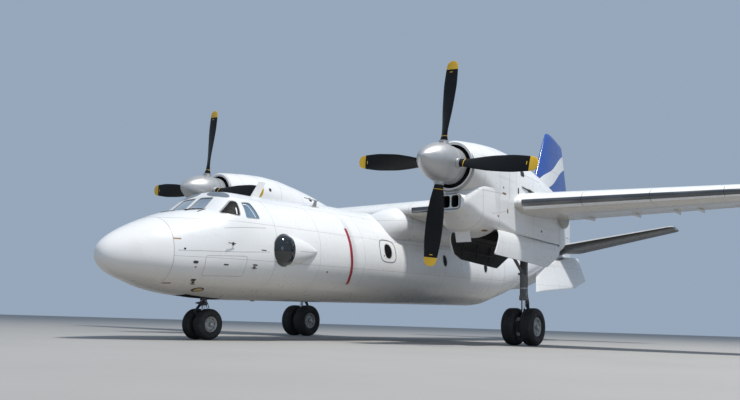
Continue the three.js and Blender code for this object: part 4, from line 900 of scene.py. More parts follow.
def edge_skin():
    """Leading edge: dark polished metal on the nose, white paint above and below"""
    s = Shader("edge_skin", WING_PAINT, 0.3)
    x = s.math("ABSOLUTE", s.x)
    # The nose line moves aft and up with the span, as the part's source has it
    reach = s.math("MAXIMUM", s.math("SUBTRACT", x, KINK), 0.0)
    rise = s.math("SUBTRACT", s.math("SUBTRACT", s.z, WING_LEVEL), s.math("MULTIPLY", reach, DIHEDRAL))
    level = s.math("DIVIDE", rise, s.ramp(x, KINK, HALF_SPAN, 1.0, 0.36))
    nose = s.both(s.ramp(level, -0.105, -0.095), s.ramp(level, 0.085, 0.075))
    s.tint(nose, (0.12, 0.125, 0.135))
    s.tint(s.both(nose, s.ramp(s.noise(2.5, 5, (0.25, 1, 1)), 0.45, 0.7)), (0.3, 0.3, 0.3), 0.5)
    s.set("Metallic", s.math("MULTIPLY", nose, 0.85))
    s.rough(0.16, 0.32, 3.0, (0.3, 1, 1))
    joint = s.any([s.near(x, place, 0.004) for place in (6.2, 7.7, 9.2, 10.8, 12.4)])
    s.tint(joint, (0.05, 0.05, 0.05), 0.8)
    return s.material


EDGE_SKIN = edge_skin()
WING_MIDDLE = wing()


# Nacelles: station, top, bottom, half width, height of the round top and of the round bottom

HALF_TRACK = 3.95
THRUST_LINE, EXHAUST_LINE = 4.11, 3.94
COWL_ROWS = (
    (6.86, 4.68, 3.56, 0.555, 0.555, 0.555), (6.9, 4.722, 3.518, 0.598, 0.6, 0.6),
    (7.3, 4.78, 3.36, 0.64, 0.64, 0.64), (7.9, 4.85, 3.25, 0.668, 0.64, 0.5),
    (8.5, 4.89, 3.25, 0.672, 0.64, 0.4), (9, 4.885, 3.25, 0.672, 0.64, 0.4),
    (9.6, 4.82, 3.25, 0.672, 0.62, 0.4), (10.5, 4.68, 3.3, 0.665, 0.56, 0.4),
    (11.5, 4.46, 3.4, 0.6, 0.45, 0.4), (12.4, 4.28, 3.56, 0.43, 0.355, 0.355),
    (13, 4.21, 3.67, 0.268, 0.268, 0.268),
)
KEEL_ROWS = (
    (6.86, 3.5, 3.05, 0.35, 0.224, 0.224), (7, 3.62, 2.96, 0.43, 0.28, 0.33),
    (7.35, 3.9, 2.66, 0.59, 0.3, 0.42), (8.1, 4, 2.56, 0.668, 0.3, 0.42),
    (9, 4, 2.52, 0.672, 0.3, 0.3), (11.7, 3.85, 2.45, 0.668, 0.3, 0.29),
    (12.3, 3.76, 2.56, 0.56, 0.3, 0.3), (12.8, 3.64, 2.8, 0.34, 0.22, 0.18),
    (13.1, 3.5, 3.05, 0.11, 0.09, 0.08),
)
DOOR_FRONT, DOOR_REAR, DOOR_SEAM = 7.98, 11.62, 2.745


def nacelle_rings(rows, stations, side, breaks=()):
    rings = []
    angles = np.linspace(0, math.pi, 33)
    for station, top, bottom, half, arch, sole in smooth_rows(rows, stations, breaks):
        points = [(half * math.cos(a), top - arch + arch * math.sin(a)) for a in angles]
        points += [(half * math.cos(a + math.pi), bottom + sole + sole * math.sin(a + math.pi)) for a in angles]
        rings.append([at(side * HALF_TRACK + x, station, z) for x, z in points])
    return np.array(rings)


AFT, UP, ACROSS = (0, 1, 0), (0, 0, 1), (1, 0, 0)


def nacelle(name, side):
    x = side * HALF_TRACK
    lip_stations = [6.86, 6.868, 6.88, 6.9, 6.95]
    cowl = loft("nacelle_skin_" + name, nacelle_rings(
        COWL_ROWS, np.unique([*lip_stations, *np.linspace(7, 13, 50)]), side, (6.9,)), NACELLE_SKIN)
    keel = loft("keel", nacelle_rings(
        KEEL_ROWS, np.unique([6.86, 6.88, 6.92, *np.linspace(7, 13.1, 50)]), side), NACELLE_SKIN)
    carve(cowl, [keel], "UNION")

    def bore(profile, station, z, sides):
        return loft("cut", turned_rings(profile, at(x, station, z), AFT, sides), BAY_SHADE)

    def box(left, right, low, high):
        return [(left, low), (right, low), (right, high), (left, high)]

    # The cuts' walls take the near black of painted shade
    cutters = [
        prism(box(x - 0.56, x + 0.56, 8.3, 11.3), "plan", 2.0, 3.13, BAY_SHADE),
        bore([(0.5, 0), (0.515, 0.08), (0.5, 0.38)], 6.8, THRUST_LINE, 72),
        prism(box(DOOR_FRONT, DOOR_REAR, 2.0, DOOR_SEAM), "side", x - 1, x + 1, BAY_SHADE),
        *(prism(rounded(box(x + out - 0.095, x + out + 0.095, 3.15, 3.43), 0.07, 7), "front", 6.7, 7.3, BAY_SHADE)
          for out in (-0.115, 0.115)),
        bore([(0.225, 0), (0.225, 0.5)], 12.62, EXHAUST_LINE, 48),
        bore([(0.4004, 0), (0.4004, 1.12), (0.2154, 1.44), (0.2154, 2.2204)], 7.1796, THRUST_LINE, 24),
    ]
    for cutter in cutters:
        carve(cowl, [cutter])
    fix(cowl, "white_paint", "nacelle_" + name)
    lip = turned_rings(
        [(0.517, 0.34), (0.512, 0.1), (0.516, 0.03), (0.532, 0.002), (0.553, 0.001), (0.575, 0.012),
         (0.596, 0.038), (0.6035, 0.1), (0.6075, 0.18), (0.56, 0.34)], at(x, 6.86, THRUST_LINE), AFT, 96)
    build("cowl_lip_" + name, [lip], COWL_LIP, "bare_metal")
    flap = [[at(x + dx, 7.4 + ds + t, z) for dx, t in ((-0.195, 0), (-0.195, 0.022), (0.195, 0.022), (0.195, 0))]
            for ds, z in ((0.0, 2.74), (0.03, 2.62), (0.066, 2.5), (0.092, 2.42))]
    build("cooler_flap_" + name, [flap], NACELLE_SKIN, "white_paint")
    return cowl


# A door's curve as [distance out of the nacelle's middle plane, height]
DOOR_CURVE = ((0.64, DOOR_SEAM - 0.0003), (0.705, 2.65), (0.745, 2.5), (0.755, 2.3), (0.74, 2.0))
DOOR_THICKNESS, RIB_INSET = 0.034, 0.036


def door_reach(levels):
    reach, heights = np.array(DOOR_CURVE).T
    return curve(-heights, reach, -np.asarray(levels))


def bay_door(name, outline, x, lean, *nodes):
    """Curved wheel-bay door: its section leans out on the side given by lean"""
    levels = np.linspace(DOOR_SEAM - 0.0003, 2.02, 16)

    def layer(inset):
        return [(x + lean * (r - inset), z) for r, z in zip(door_reach(levels), levels)]

    door = loft(name, [[at(a, s, b) for a, b in layer(0) + layer(DOOR_THICKNESS)[::-1]]
                       for s in np.linspace(7.5, 11.62, 24)], NACELLE_SKIN)
    carve(door, [prism(rounded(outline, 0.05, 5), "side", x - 1, x + 1, NACELLE_SKIN)], "INTERSECT")
    # Inner faces of the door near black: painted shade
    repaint(door, BAY_SHADE, lambda face: face.normal.x * lean < -0.3)
    ribs = [tube([at(a - lean * 0.012, station, b) for a, b in layer(RIB_INSET)[2:-4]], 0.018, 8)
            for station in (8.75, 9.5, 10.2)]
    for z in (2.62, 2.35):
        a = x + lean * (door_reach([z])[0] - 0.046)
        ribs.append(tube([at(a, s, z) for s in np.linspace(8.7, 10.4, 8)], 0.014, 8))
    fix(door, "white_paint", *nodes)
    build(name + "_ribs", ribs, RIB_DARK)


LOWER_EDGE = [(10.63, 2.055), (11.4, 2.44), (DOOR_REAR - 0.02, DOOR_SEAM)]
OUTER_DOOR = [(DOOR_FRONT + 0.02, DOOR_SEAM), (7.64, 2.13), *LOWER_EDGE]
INNER_DOOR = [(DOOR_FRONT + 0.02, DOOR_SEAM), (8.12, 2.53), (8.32, 2.24), (8.66, 2.13), *LOWER_EDGE]
NACELLES = {}
for name, side in SIDES:
    NACELLES[name] = nacelle(name, side)
    for label, outline, lean in (("outer", OUTER_DOOR, side), ("inner", INNER_DOOR, -side)):
        bay_door(f"{label}_door_{name}", outline, side * HALF_TRACK, lean, f"{label}_bay_door_{name}")


# Propellers: radius, chord, thickness and pitch in degrees

PROP_PLANE = 6.42
BLADE_ROWS = (
    (0.15, 0.2, 0.2, 50), (0.48, 0.2, 0.195, 46), (0.62, 0.245, 0.12, 40), (0.9, 0.33, 0.075, 31),
    (1.3, 0.395, 0.05, 22), (1.7, 0.4, 0.038, 14), (2.05, 0.35, 0.028, 8), (2.24, 0.3, 0.02, 5),
    (2.32, 0.215, 0.015, 4), (2.35, 0.09, 0.009, 4),
)
YELLOW_FROM = 2.155
ROOT_BAND, TIP_MARK, MARK_WIDTH = (0.6, 0.612), (2.085, 2.103), 0.2
SPINNER_RADIUS = 0.438
SPINNER_TIP = 5.53


def blade_ring(row):
    radius, chord, thick, pitch = row
    angle = math.radians(pitch)
    chord_way = np.array([math.cos(angle), -math.sin(angle), 0])
    thick_way = np.array([math.sin(angle), math.cos(angle), 0])
    blend = min(1, max(0, (radius - 0.45) / 0.35))
    points = []
    for a in circle(28):
        c, s = math.cos(a), math.sin(a)
        flat = s * (1 - 0.25 * blend * c) * (abs(s) ** (0.25 * blend) if s else 1)
        points.append(np.array([0, 0, radius]) + chord_way * chord / 2 * c + thick_way * thick / 2 * flat)
    return points


def turned(points, degrees, centre):
    c, s = math.cos(math.radians(degrees)), math.sin(math.radians(degrees))
    points = np.asarray(points, float)
    x = points[..., 0] * c + points[..., 2] * s
    z = -points[..., 0] * s + points[..., 2] * c
    return np.stack([x, points[..., 1], z], -1) + centre


BLADE_RADII = np.unique([*np.linspace(0.15, 0.62, 9), *np.linspace(0.7, 2.1, 22), YELLOW_FROM,
                         *np.linspace(2.17, 2.35, 12)])
HUB_RADIUS = SPINNER_RADIUS - 0.027


def propeller(name, side, turn):
    body = name + "_propeller"
    centre = at(side * HALF_TRACK, PROP_PLANE, THRUST_LINE)

    def round_hub(rings):
        return [turned(rings, turn + 90 * quarter, centre) for quarter in range(4)]

    rings = np.array([blade_ring(row) for row in smooth_rows(BLADE_ROWS, BLADE_RADII)])
    split = int(np.argmin(abs(BLADE_RADII - YELLOW_FROM)))
    band = [blade_ring(row * np.array([1, 1.012, 1.03, 1])) for row in smooth_rows(BLADE_ROWS, ROOT_BAND)]
    mark = [blade_ring(row * np.array([1, MARK_WIDTH / row[1], 1.06, 1]))
            for row in smooth_rows(BLADE_ROWS, TIP_MARK)]
    collar = turned_rings([(0.114, 0.3), (0.114, 0.455), (0.1085, 0.462), (0.1085, 0.475), (0.116, 0.48),
                           (0.116, 0.5), (0.107, 0.507)], (0, 0, 0), UP, 40)
    hub = turned_rings([(0.02, -0.26), (0.15, -0.25), (0.19, -0.22), (0.19, 0.3), (HUB_RADIUS, 0.3),
                        (HUB_RADIUS, 0.34), (0.13, 0.34), (0.13, 0.7595)], centre, AFT, 64)
    for label, lofts, finish, slot, *nodes in (
        ("blades_", round_hub(rings[:split + 1]), BLADE_BLACK, "blade_black", "propeller_" + name),
        ("blade_tips_", round_hub(rings[split:]) + round_hub(band), BLADE_YELLOW, "blade_black"),
        ("blade_marks_", round_hub(mark), BLADE_YELLOW, "blade_black"),
        ("blade_collars_", round_hub(collar), SILVER, "bare_metal"),
        ("hub_", [hub], ENGINE_DARK, "engine_metal"),
    ):
        place(many_lofts(label + name, lofts, finish), body, slot, *nodes)
    shell(name, body, centre, round_hub)


def shell(name, body, centre, round_hub):
    """Spinner: a thin shell with a round opening for each blade"""
    full = PROP_PLANE - 0.06
    stations = SPINNER_TIP + (full - SPINNER_TIP) * np.linspace(0, 1, 34) ** 1.9
    share = (full - stations) / (full - SPINNER_TIP)
    radii = SPINNER_RADIUS * (1 - share**1.8) ** 0.72
    profile = [(r, s - PROP_PLANE) for r, s in zip(radii, stations)]
    profile += [(SPINNER_RADIUS, 0.1), (SPINNER_RADIUS - 0.003, 0.385), (SPINNER_RADIUS - 0.006, 0.4)]
    inner = [(SPINNER_RADIUS - 0.022, 0.4), (SPINNER_RADIUS - 0.022, -0.06), (0.3, -0.5), (0.02, -0.72)]
    piece = loft("spinner_shell_" + name, turned_rings(profile + inner, centre, AFT, 96), SILVER)
    opening = turned_rings([(0.119, 0.25), (0.119, 0.7)], (0, 0, 0), UP, 48)
    # The openings' walls are near black: painted shade
    carve(piece, [loft("cut", rings, BAY_SHADE) for rings in round_hub(opening)])
    low, high = SPINNER_RADIUS - 0.004, SPINNER_RADIUS + 0.0012
    seam = loft("spinner_seam_" + name, turned_rings([(low, 0.18), (high, 0.18), (high, 0.188), (low, 0.188)],
                                                     centre, AFT, 96), DARK_SEAL)
    place(piece, body, "bare_metal", "spinner_" + name)
    place(seam, body, "bare_metal")


for name, side, turn in (("port", 1, 6.4), ("starboard", -1, 5.2)):
    propeller(name, side, turn)


# Fin and rudder, with the same lines as the part's source

FIN_HINGE = 22.36
RUDDER_LOW = 4.45
FIN_THICK = 0.115
FIN_REAR = ((3.4, 24.12), (5.15, 24.12), (8.45, 23.135), (9.0, 22.97))
FIN_CREST = ((21.2, 8.36), (21.27, 8.5), (21.34, 8.62), (21.45, 8.695), (21.64, 8.738), (21.85, 8.72),
             (22.1, 8.68), (22.6, 8.565), (23.0, 8.47), (23.1, 8.43), (23.2, 8.36))
# Share of the fin's height from which its crest is rounded
CREST_FROM = 0.94
FIN_WHITE = (0.78, 0.79, 0.8)


def fin_front(z):
    return 21.28 - (8.53 - z) * 0.494


def fin_chord(z):
    heights, stations = zip(*FIN_REAR)
    return np.interp(z, heights, stations) - fin_front(z)


def fin_half(station, z):
    share = np.clip((station - fin_front(z)) / fin_chord(z), 0.0, 1.0)
    return max(foil_half(share, FIN_THICK) * fin_chord(z), 0.0) + 0.004 * share


def fin_grid(low, ends, trough=False, nose=False):
    """Rings of the fin from height low to its crest, between two stations given by ends(z)"""
    rings = []
    crest = 1 - (1 - CREST_FROM) * (1 - np.linspace(0, 1, 9)[1:]) ** 1.8
    levels = np.concatenate([np.linspace(0, CREST_FROM, 30), crest])
    crest_stations, crest_heights = zip(*FIN_CREST)
    for level in levels:
        cap = math.sqrt(max(0.0, 1 - max(0.0, (level - CREST_FROM) / (1 - CREST_FROM)) ** 2))
        near, far = [], []
        for share in (1 - np.cos(np.linspace(0, math.pi, 30))) / 2:
            z = low + level * (8.5 - low)
            for _ in range(6):
                start, end = ends(z)
                station = start + (end - start) * share
                z = low + level * (np.interp(station, crest_stations, crest_heights) - low)
            half = fin_half(station, z) * max(cap, 0.02)
            if nose and station < FIN_HINGE:
                radius = fin_half(FIN_HINGE, z) - 0.002
                half = min(half, math.sqrt(max(0.0, radius**2 - (FIN_HINGE - station) ** 2)) * max(cap, 0.02))
            near.append((half, station, z))
            far.append((-half, station, z))
        hollow = []
        if trough:
            for turn in np.linspace(0, math.pi, 9)[1:-1]:
                half, station, z = near[-1]
                radius = fin_half(FIN_HINGE, z) * cap
                hollow.append((half * math.cos(turn), station - radius * 0.6 * math.sin(turn), z))
        rings.append([at(*p) for p in near + hollow + far[::-1]])
    return rings


def foil_tower(name, levels, rear, finish):
    """The fin's foil below its rudder, between some heights"""
    rings = []
    for z in levels:
        start = fin_front(z)
        stations = start + (rear - start) * (1 - np.cos(np.linspace(0, math.pi, 30))) / 2
        line = [(fin_half(s, z), s) for s in stations]
        rings.append([at(h, s, z) for h, s in line] + [at(-h, s, z) for h, s in line[::-1]])
    return loft(name, rings, finish)


def fin_paint():
    """Blue fin over a plain white wave that rises aft; white skin below it"""
    s = Shader("fin_paint", (0.028, 0.088, 0.36), 0.3, coat=0.4)
    station = s.math("ADD", s.y, MIDDLE)
    edge = s.math("MULTIPLY_ADD", s.math("SUBTRACT", station, 21.0), 0.545, 6.8)
    swell = s.math("MULTIPLY", s.math("SINE", s.math("MULTIPLY", station, 3.1)), 0.05)
    above = s.math("SUBTRACT", s.z, s.math("ADD", edge, swell))
    s.tint(s.ramp(s.noise(0.7, 4), 0.4, 0.7), (0.02, 0.066, 0.3), 0.6)
    s.tint(s.ramp(s.noise(2.2, 6, (1, 0.3, 2)), 0.58, 0.8), (0.07, 0.12, 0.3), 0.35)
    s.tint(s.near(above, -0.31, 0.31, 0.012), FIN_WHITE)
    s.tint(s.ramp(s.z, 5.92, 5.9), FIN_WHITE)
    lines = [s.near(s.z, z, 0.003) for z in (5.4, 6.25, 7.1, 7.9, 8.42)]
    lines += [s.near(station, place, 0.003) for place in (21.95, 22.28)]
    s.seams(lines, (0.05, 0.06, 0.1), 0.55)
    s.rough(0.24, 0.4)
    return s.material


FIN_PAINT = fin_paint()


def fin():
    front = loft("fin_skin", fin_grid(RUDDER_LOW, lambda z: (fin_front(z), FIN_HINGE - 0.02), trough=True),
                 FIN_PAINT, sharp=30)
    foot = foil_tower("fin_foot", np.linspace(3.42, RUDDER_LOW, 8), FIN_REAR[0][1], FIN_PAINT)
    rows = smooth_rows(((15.3, 3.66, 3.7, 0.03), (17.5, 3.5, 4.06, 0.09), (19.4, 3.5, 4.72, 0.15),
                        (20.0, 3.5, 5.2, 0.165), (20.4, 3.5, 5.62, 0.165)), np.linspace(15.3, 20.4, 36))
    turns = np.linspace(0, math.pi, 17)
    rings = [[at(half * math.copysign(abs(math.cos(t)) ** 0.75, math.cos(t)), station,
                 low + (high - low) * math.sin(t) ** 0.85) for t in turns] for station, low, high, half in rows]
    base = join("fin_base", [foot, loft("fillet", rings, WHITE_SKIN, sharp=60)])
    fix(front, "blue_paint", "fin")
    fix(base, "white_paint")
    build("rudder_pins", [rod(at(0, FIN_HINGE, 4.44), at(0, FIN_HINGE, 4.5), 0.028)], GEAR_GREY)

    def rudder_ends(z):
        return FIN_HINGE - fin_half(FIN_HINGE, z) + 0.003, np.interp(z, *zip(*FIN_REAR))
    rudder = loft("rudder_skin", fin_grid(RUDDER_LOW + 0.028, rudder_ends, nose=True), FIN_PAINT, sharp=30)
    place(rudder, "rudder_surface", "blue_paint", "rudder")


# Tailplanes and elevators: span place, leading edge, chord and height

TAIL_TIP = 5.115
TAIL_HINGE = 0.62
TAIL_THICKNESS, TAIL_CAMBER = 0.12, -0.01
TAIL_ROWS = ((0.25, 1), (4.95, 1), (5.0, 0.985), (5.05, 0.95), (5.085, 0.89), (5.105, 0.82), (5.115, 0.72))


def tail_at(x, share):
    k = abs(x) / TAIL_TIP
    chord = 2.56 + (1.15 - 2.56) * k
    middle = 4 * TAIL_CAMBER * share * (1 - share) * chord
    return np.array([x, 20.6 + 0.65 * k + chord * share - MIDDLE, 3.64 + 0.78 * k + middle])


def tail_chord(x):
    return 2.56 - 1.41 * abs(x) / TAIL_TIP


def tail_rings(rows, start=0.0, end=1.0, hollow=0.0):
    rings = []
    for x, scale in rows:
        chord = tail_chord(x) * scale
        points = foil_part(chord, TAIL_THICKNESS, TAIL_CAMBER, start, end, hollow * chord)
        lead = tail_at(x, (1 - scale) * 0.5)
        rings.append([lead + np.array([0, aft, up]) for aft, up in points])
    return np.array(rings)


def tail_paint():
    """Pale grey above; near black beneath, partly dark paint and partly painted shade, with a paler band along the
    span that is a painted highlight
    """
    s = Shader("tail_paint", (0.5, 0.5, 0.5), 0.35, coat=0.06)
    s.tint(s.ramp(s.noise(0.8, 5, (1, 0.4, 1)), 0.42, 0.72), (0.38, 0.38, 0.38), 0.5)
    s.tint(s.ramp(s.noise(4.5, 6, (0.4, 1, 1)), 0.55, 0.8), (0.16, 0.145, 0.12), 0.4)
    # Near black on faces turned down: partly dark paint, partly painted shade of the underside
    under = s.facing_down(0.15, -0.1)
    s.tint(under, (0.014, 0.014, 0.015))
    # Paler band along the span on the underside: a painted highlight
    away = s.math("SUBTRACT", s.y, s.math("MULTIPLY", s.math("ABSOLUTE", s.x), 0.03))
    s.tint(s.both(under, s.near(away, 9.1, 0.16, 0.12)), (0.085, 0.082, 0.078), 0.8)
    s.seams([s.near(s.math("ABSOLUTE", s.x), x, 0.004) for x in (1.1, 2.0, 2.9, 3.8, 4.6)], (0.1, 0.1, 0.1), 0.6)
    s.rough(0.28, 0.5)
    return s.material


TAIL_PAINT = tail_paint()


def tailplanes():
    whole = [(x, 1) for x in np.linspace(0.58, 4.95, 8)] + list(TAIL_ROWS[2:])
    lofts = [tail_rings([(0.25, 1), (0.58, 1)], 0, 0.64), tail_rings(whole, 0, TAIL_HINGE - 0.024, 0.018),
             rod(tail_at(0.56, TAIL_HINGE), tail_at(0.66, TAIL_HINGE), 0.026)]
    for name, side in SIDES:
        build("tailplane_skin_" + name, [sided(r, side) for r in lofts], TAIL_PAINT, "grey_paint",
              "tailplane_" + name)


# Ventral fins: a bent sheet from a web on the tail's side to a free lower edge

VENTRAL_ROOT = ((0.8, 18.7, 2.65), (0.76, 21.79, 3.4), (0.7, 23.25, 3.5))
VENTRAL_EDGE = ((1.14, 17.95, 1.8), (1.13, 21.79, 2.15), (1.11, 23.06, 2.51))
VENTRAL_BEND = 0.74


def ventral_line(corners, share):
    a, b, c = (np.array(p, float) for p in corners)
    if share < VENTRAL_BEND:
        return at(*(a + (b - a) * share / VENTRAL_BEND))
    return at(*(b + (c - b) * (share - VENTRAL_BEND) / (1 - VENTRAL_BEND)))


def ventral_fins():
    shares = np.unique(np.round([*np.linspace(0, 0.2, 8), *np.linspace(0.2, 0.7, 8), 0.72, VENTRAL_BEND, 0.76,
                                 *np.linspace(0.78, 1, 7)], 4))
    halves = np.interp(shares, (0, 0.02, 0.08, 0.2, VENTRAL_BEND, 1), (0.002, 0.022, 0.045, 0.058, 0.055, 0.006))
    blade = []
    for level in (0.0, 0.15, 0.35, 0.55, 0.75, 0.9, 0.97, 1.0):
        thin = (1 - 0.4 * level) * (1 if level < 0.96 else (0.75 if level < 0.99 else 0.3))
        middle = [ventral_line(VENTRAL_ROOT, s) * (1 - level) + ventral_line(VENTRAL_EDGE, s) * level
                  for s in shares]
        out = np.array([1, 0, 0.3]) * thin
        blade.append([p + out * h for p, h in zip(middle, halves)]
                     + [p - out * h for p, h in zip(middle[::-1], halves[::-1])])
    web = []
    for share in np.linspace(0.3, 0.985, 14):
        outer = ventral_line(VENTRAL_ROOT, share) + np.array([0.02, 0, -0.012])
        depth = np.interp(outer[1] + MIDDLE, (19.5, 20.5, 21.8, 22.5, 23.3), (0.72, 0.55, 0.34, 0.24, 0.08))
        inner = np.array([max(0.06, depth), outer[1], outer[2] + 0.03])
        thin, thick = np.array([0, 0, 0.022]), np.array([0, 0, 0.05])
        web.append([outer + thin, outer - thin, inner - thick, inner + thick])
    for name, side in SIDES:
        fin_skin = loft("ventral_skin_" + name, sided(blade, side), WHITE_SKIN, sharp=14)
        fix(fin_skin, "white_paint", "ventral_fin_" + name)
        build("ventral_web_" + name, [sided(web, side)], WHITE_SKIN, "white_paint")


fin()
tailplanes()
ventral_fins()


# Landing gear: radius, rim, half width, spread, axle radius and axle height, as in the part's source

MAIN = dict(radius=0.4962, rim=0.255, wide=0.19, spread=0.265, axle=0.045, height=0.49635)
NOSE = dict(radius=0.3324, rim=0.17, wide=0.122, spread=0.19, axle=0.032, height=0.33256)
MAIN_LEG, NOSE_LEG = 10.78, 3.13
# Tyre's outline as [share of the way from rim to tread, share of half width], then the grooves
TYRE_SIDE = ((0.0, 0.62), (0.02, 0.7), (0.07, 0.79), (0.2, 0.91), (0.38, 0.985), (0.55, 0.995), (0.7, 0.955),
             (0.82, 0.87), (0.9, 0.77), (0.955, 0.64))
GROOVES = (0.46, 0.16)
HUB_SHARE = 0.72


def tyre_profile(wheel):
    reach = wheel["radius"] - wheel["rim"]
    half = [(wheel["rim"] + reach * r, wheel["wide"] * w) for r, w in TYRE_SIDE]
    for share in GROOVES:
        crown = wheel["rim"] + reach * (1 - 0.055 * share**2)
        middle = wheel["wide"] * share
        half += [(crown, middle + 0.009), (crown - 0.009, middle + 0.006), (crown - 0.009, middle - 0.006),
                 (crown, middle - 0.009)]
    half.append((wheel["radius"], 0.0))
    other = [(r, -w) for r, w in half[:-1]][::-1]
    return half + other


def hub_profile(wheel):
    """Half profile from the axle's outer end to the middle, as [radius, distance out]"""
    rim, face = wheel["rim"] - 0.0006, wheel["spread"] + wheel["wide"] * HUB_SHARE
    back = wheel["spread"] - wheel["wide"] * HUB_SHARE
    shares = ((0.0, 0.03), (0.19, 0.03), (0.235, 0.024), (0.255, 0.008), (0.27, -0.026), (0.33, -0.036),
              (0.62, -0.046), (0.7, -0.04), (0.8, -0.012), (0.87, 0.002), (0.95, 0.0075), (0.985, 0.004),
              (1.0, -0.008))
    outer = [(rim * r, face + d) for r, d in shares]
    inner = [(rim, back + 0.012), (rim * 0.97, back), (rim * 0.9, back + 0.002), (rim * 0.72, back + 0.02),
             (wheel["axle"] + 0.02, back + 0.02), (wheel["axle"], back + 0.012)]
    return outer + inner


def wheel_pair(wheel, x, station, body, tyres, hubs):
    middle = at(x, station, wheel["height"])
    for out, node in zip((1, -1), tyres):
        spot = middle + np.array([out * wheel["spread"], 0, 0])
        tyre = laid(node + "_rubber", [turned_loop(tyre_profile(wheel), spot, ACROSS, 72)], RUBBER, sharp=42)
        place(tyre, body, "tyre", node)
    half = hub_profile(wheel)
    whole = half + [(r, -d) for r, d in half][::-1]
    hub = loft(hubs + "_rims", turned_rings(whole[::-1], middle, ACROSS, 64), WHEEL_METAL, sharp=32)
    rim, face = wheel["rim"], wheel["spread"] + wheel["wide"] * HUB_SHARE
    bolts, holes = [], []
    for out in (1, -1):
        for k in range(8):
            turn = 2 * math.pi * k / 8 + 0.2
            spot = np.array([0, math.cos(turn), math.sin(turn)])
            for rods, share, back, length, radius, sides in ((bolts, 0.5, 0.045, 0.026, 0.042, 12),
                                                             (holes, 0.76, 0.034, 0.016, 0.075, 16)):
                near = middle + spot * rim * share + np.array([out * (face - back), 0, 0])
                rods.append(rod(near, near + np.array([out * length, 0, 0]), rim * radius, sides=sides))
        cap = middle + np.array([out * (face + 0.028), 0, 0])
        bolts.append(turned_rings([(rim * 0.12, 0), (rim * 0.12, 0.012), (rim * 0.06, 0.018)], cap,
                                  (out, 0, 0), 20))
    place(hub, body, "wheel_metal", hubs)
    place(many_lofts(hubs + "_bolts", bolts, CHROME), body, "wheel_metal")
    # Dark discs in the hub: painted shade of its lightening holes
    place(many_lofts(hubs + "_holes", holes, BAY_SHADE), body, "wheel_metal")


def link(a, b, wide_a, wide_b, thick):
    """Rings of a flat link from a to b, with its width along x"""
    a, b = np.asarray(a, float), np.asarray(b, float)
    way = (b - a) / np.linalg.norm(b - a)
    up = np.cross(way, [1.0, 0, 0])
    rings = []
    for point, wide, deep in ((a - way * 0.018, wide_a * 0.8, thick * 0.6), (a, wide_a, thick), (b, wide_b, thick),
                              (b + way * 0.018, wide_b * 0.8, thick * 0.6)):
        rings.append([point + np.array([sx * wide, 0, 0]) + up * sz * deep
                      for sx, sz in ((-1, -1), (1, -1), (1, 1), (-1, 1))])
    return rings


def upright(profile, x, station):
    return turned_rings(profile, at(x, station, 0), UP, 40)


def main_leg(name, side):
    x, low = side * HALF_TRACK, MAIN["height"]
    column = upright([(0.066, 1.19), (0.1, 1.195), (0.108, 1.21), (0.108, 1.31), (0.1, 1.325), (0.092, 1.34),
                      (0.092, 1.82), (0.101, 1.835), (0.101, 1.965), (0.092, 1.98), (0.092, 3.1296)], x, MAIN_LEG)
    foot = upright([(0.05, low + 0.05), (0.072, low + 0.06), (0.072, low + 0.13), (0.062, low + 0.16),
                    (0.059, low + 0.17)], x, MAIN_LEG)
    eye = turned_rings([(0.05, -0.058), (0.084, -0.058), (0.092, -0.05), (0.092, 0.05), (0.084, 0.058),
                        (0.05, 0.058)], at(x, MAIN_LEG, low), ACROSS, 40)
    brakes = [turned_rings([(0.05, 0.064), (0.14, 0.066), (0.165, 0.078), (0.165, 0.108), (0.15, 0.118),
                            (0.06, 0.12)], at(x, MAIN_LEG, low), (out, 0, 0), 48) for out in (1, -1)]
    knee = at(x, MAIN_LEG + 0.33, 0.965)
    foot_of_brace, joint = at(x, MAIN_LEG - 0.03, 1.9), at(x, 9.05, 3.07)
    stay = joint - at(x, MAIN_LEG, 1.9)
    links = [
        link(at(x, MAIN_LEG + 0.075, 1.285), knee, 0.075, 0.034, 0.017),
        link(at(x, MAIN_LEG + 0.06, 0.62), knee, 0.07, 0.034, 0.017),
        pin(x, MAIN_LEG + 0.33, 0.965, 0.05, 0.02, 16),
        pin(x, MAIN_LEG + 0.09, 1.285, 0.085, 0.022, 16),
        pin(x, MAIN_LEG + 0.07, 0.62, 0.08, 0.022, 16),
        rod(foot_of_brace, joint, 0.042, sides=24),
        rod(foot_of_brace + stay * 0.42, foot_of_brace + stay * 0.58, 0.054, sides=24),
        pin(x, MAIN_LEG - 0.06, 1.9, 0.12, 0.03, 16),
        rod(at(x, 9.05, 3.0), at(x, 9.05, 3.1296), 0.06, sides=20),
        pin(x, MAIN_LEG, 3.01, 0.3, 0.07, 24),
    ]
    build("leg_" + name, [column, foot, eye, *brakes, *links], GEAR_GREY, "gear_metal", "main_leg_" + name)
    build("leg_piston_" + name, [upright([(0.0575, low + 0.05), (0.0575, 1.25)], x, MAIN_LEG)], CHROME)
    hoses = []
    for out, radius in ((0.075, 0.011), (0.045, 0.008)):
        upper = [(out, 0.085, z) for z in np.linspace(3.05, 1.42, 8)]
        bend = [(out, 0.12, 1.3), (out, 0.2, 1.12), (out, 0.2, 0.86), (out * 0.9, 0.14, 0.68),
                (out * 0.9, 0.09, low + 0.1)]
        hoses.append(tube([at(x + dx, MAIN_LEG + aft, z) for dx, aft, z in upper + bend], radius, 10))
    clamps = [upright([(0.09, z), (0.099, z + 0.003), (0.099, z + 0.03), (0.09, z + 0.033)], x, MAIN_LEG)
              for z in (1.5, 2.25, 2.7)]
    build("leg_hoses_" + name, hoses, RUBBER, "tyre")
    build("leg_clamps_" + name, clamps, SILVER)
    tyres = ("main_tyre_outer_" + name, "main_tyre_inner_" + name)
    wheel_pair(MAIN, x, MAIN_LEG, name + "_main_wheels", tyres[::side], "main_hubs_" + name)


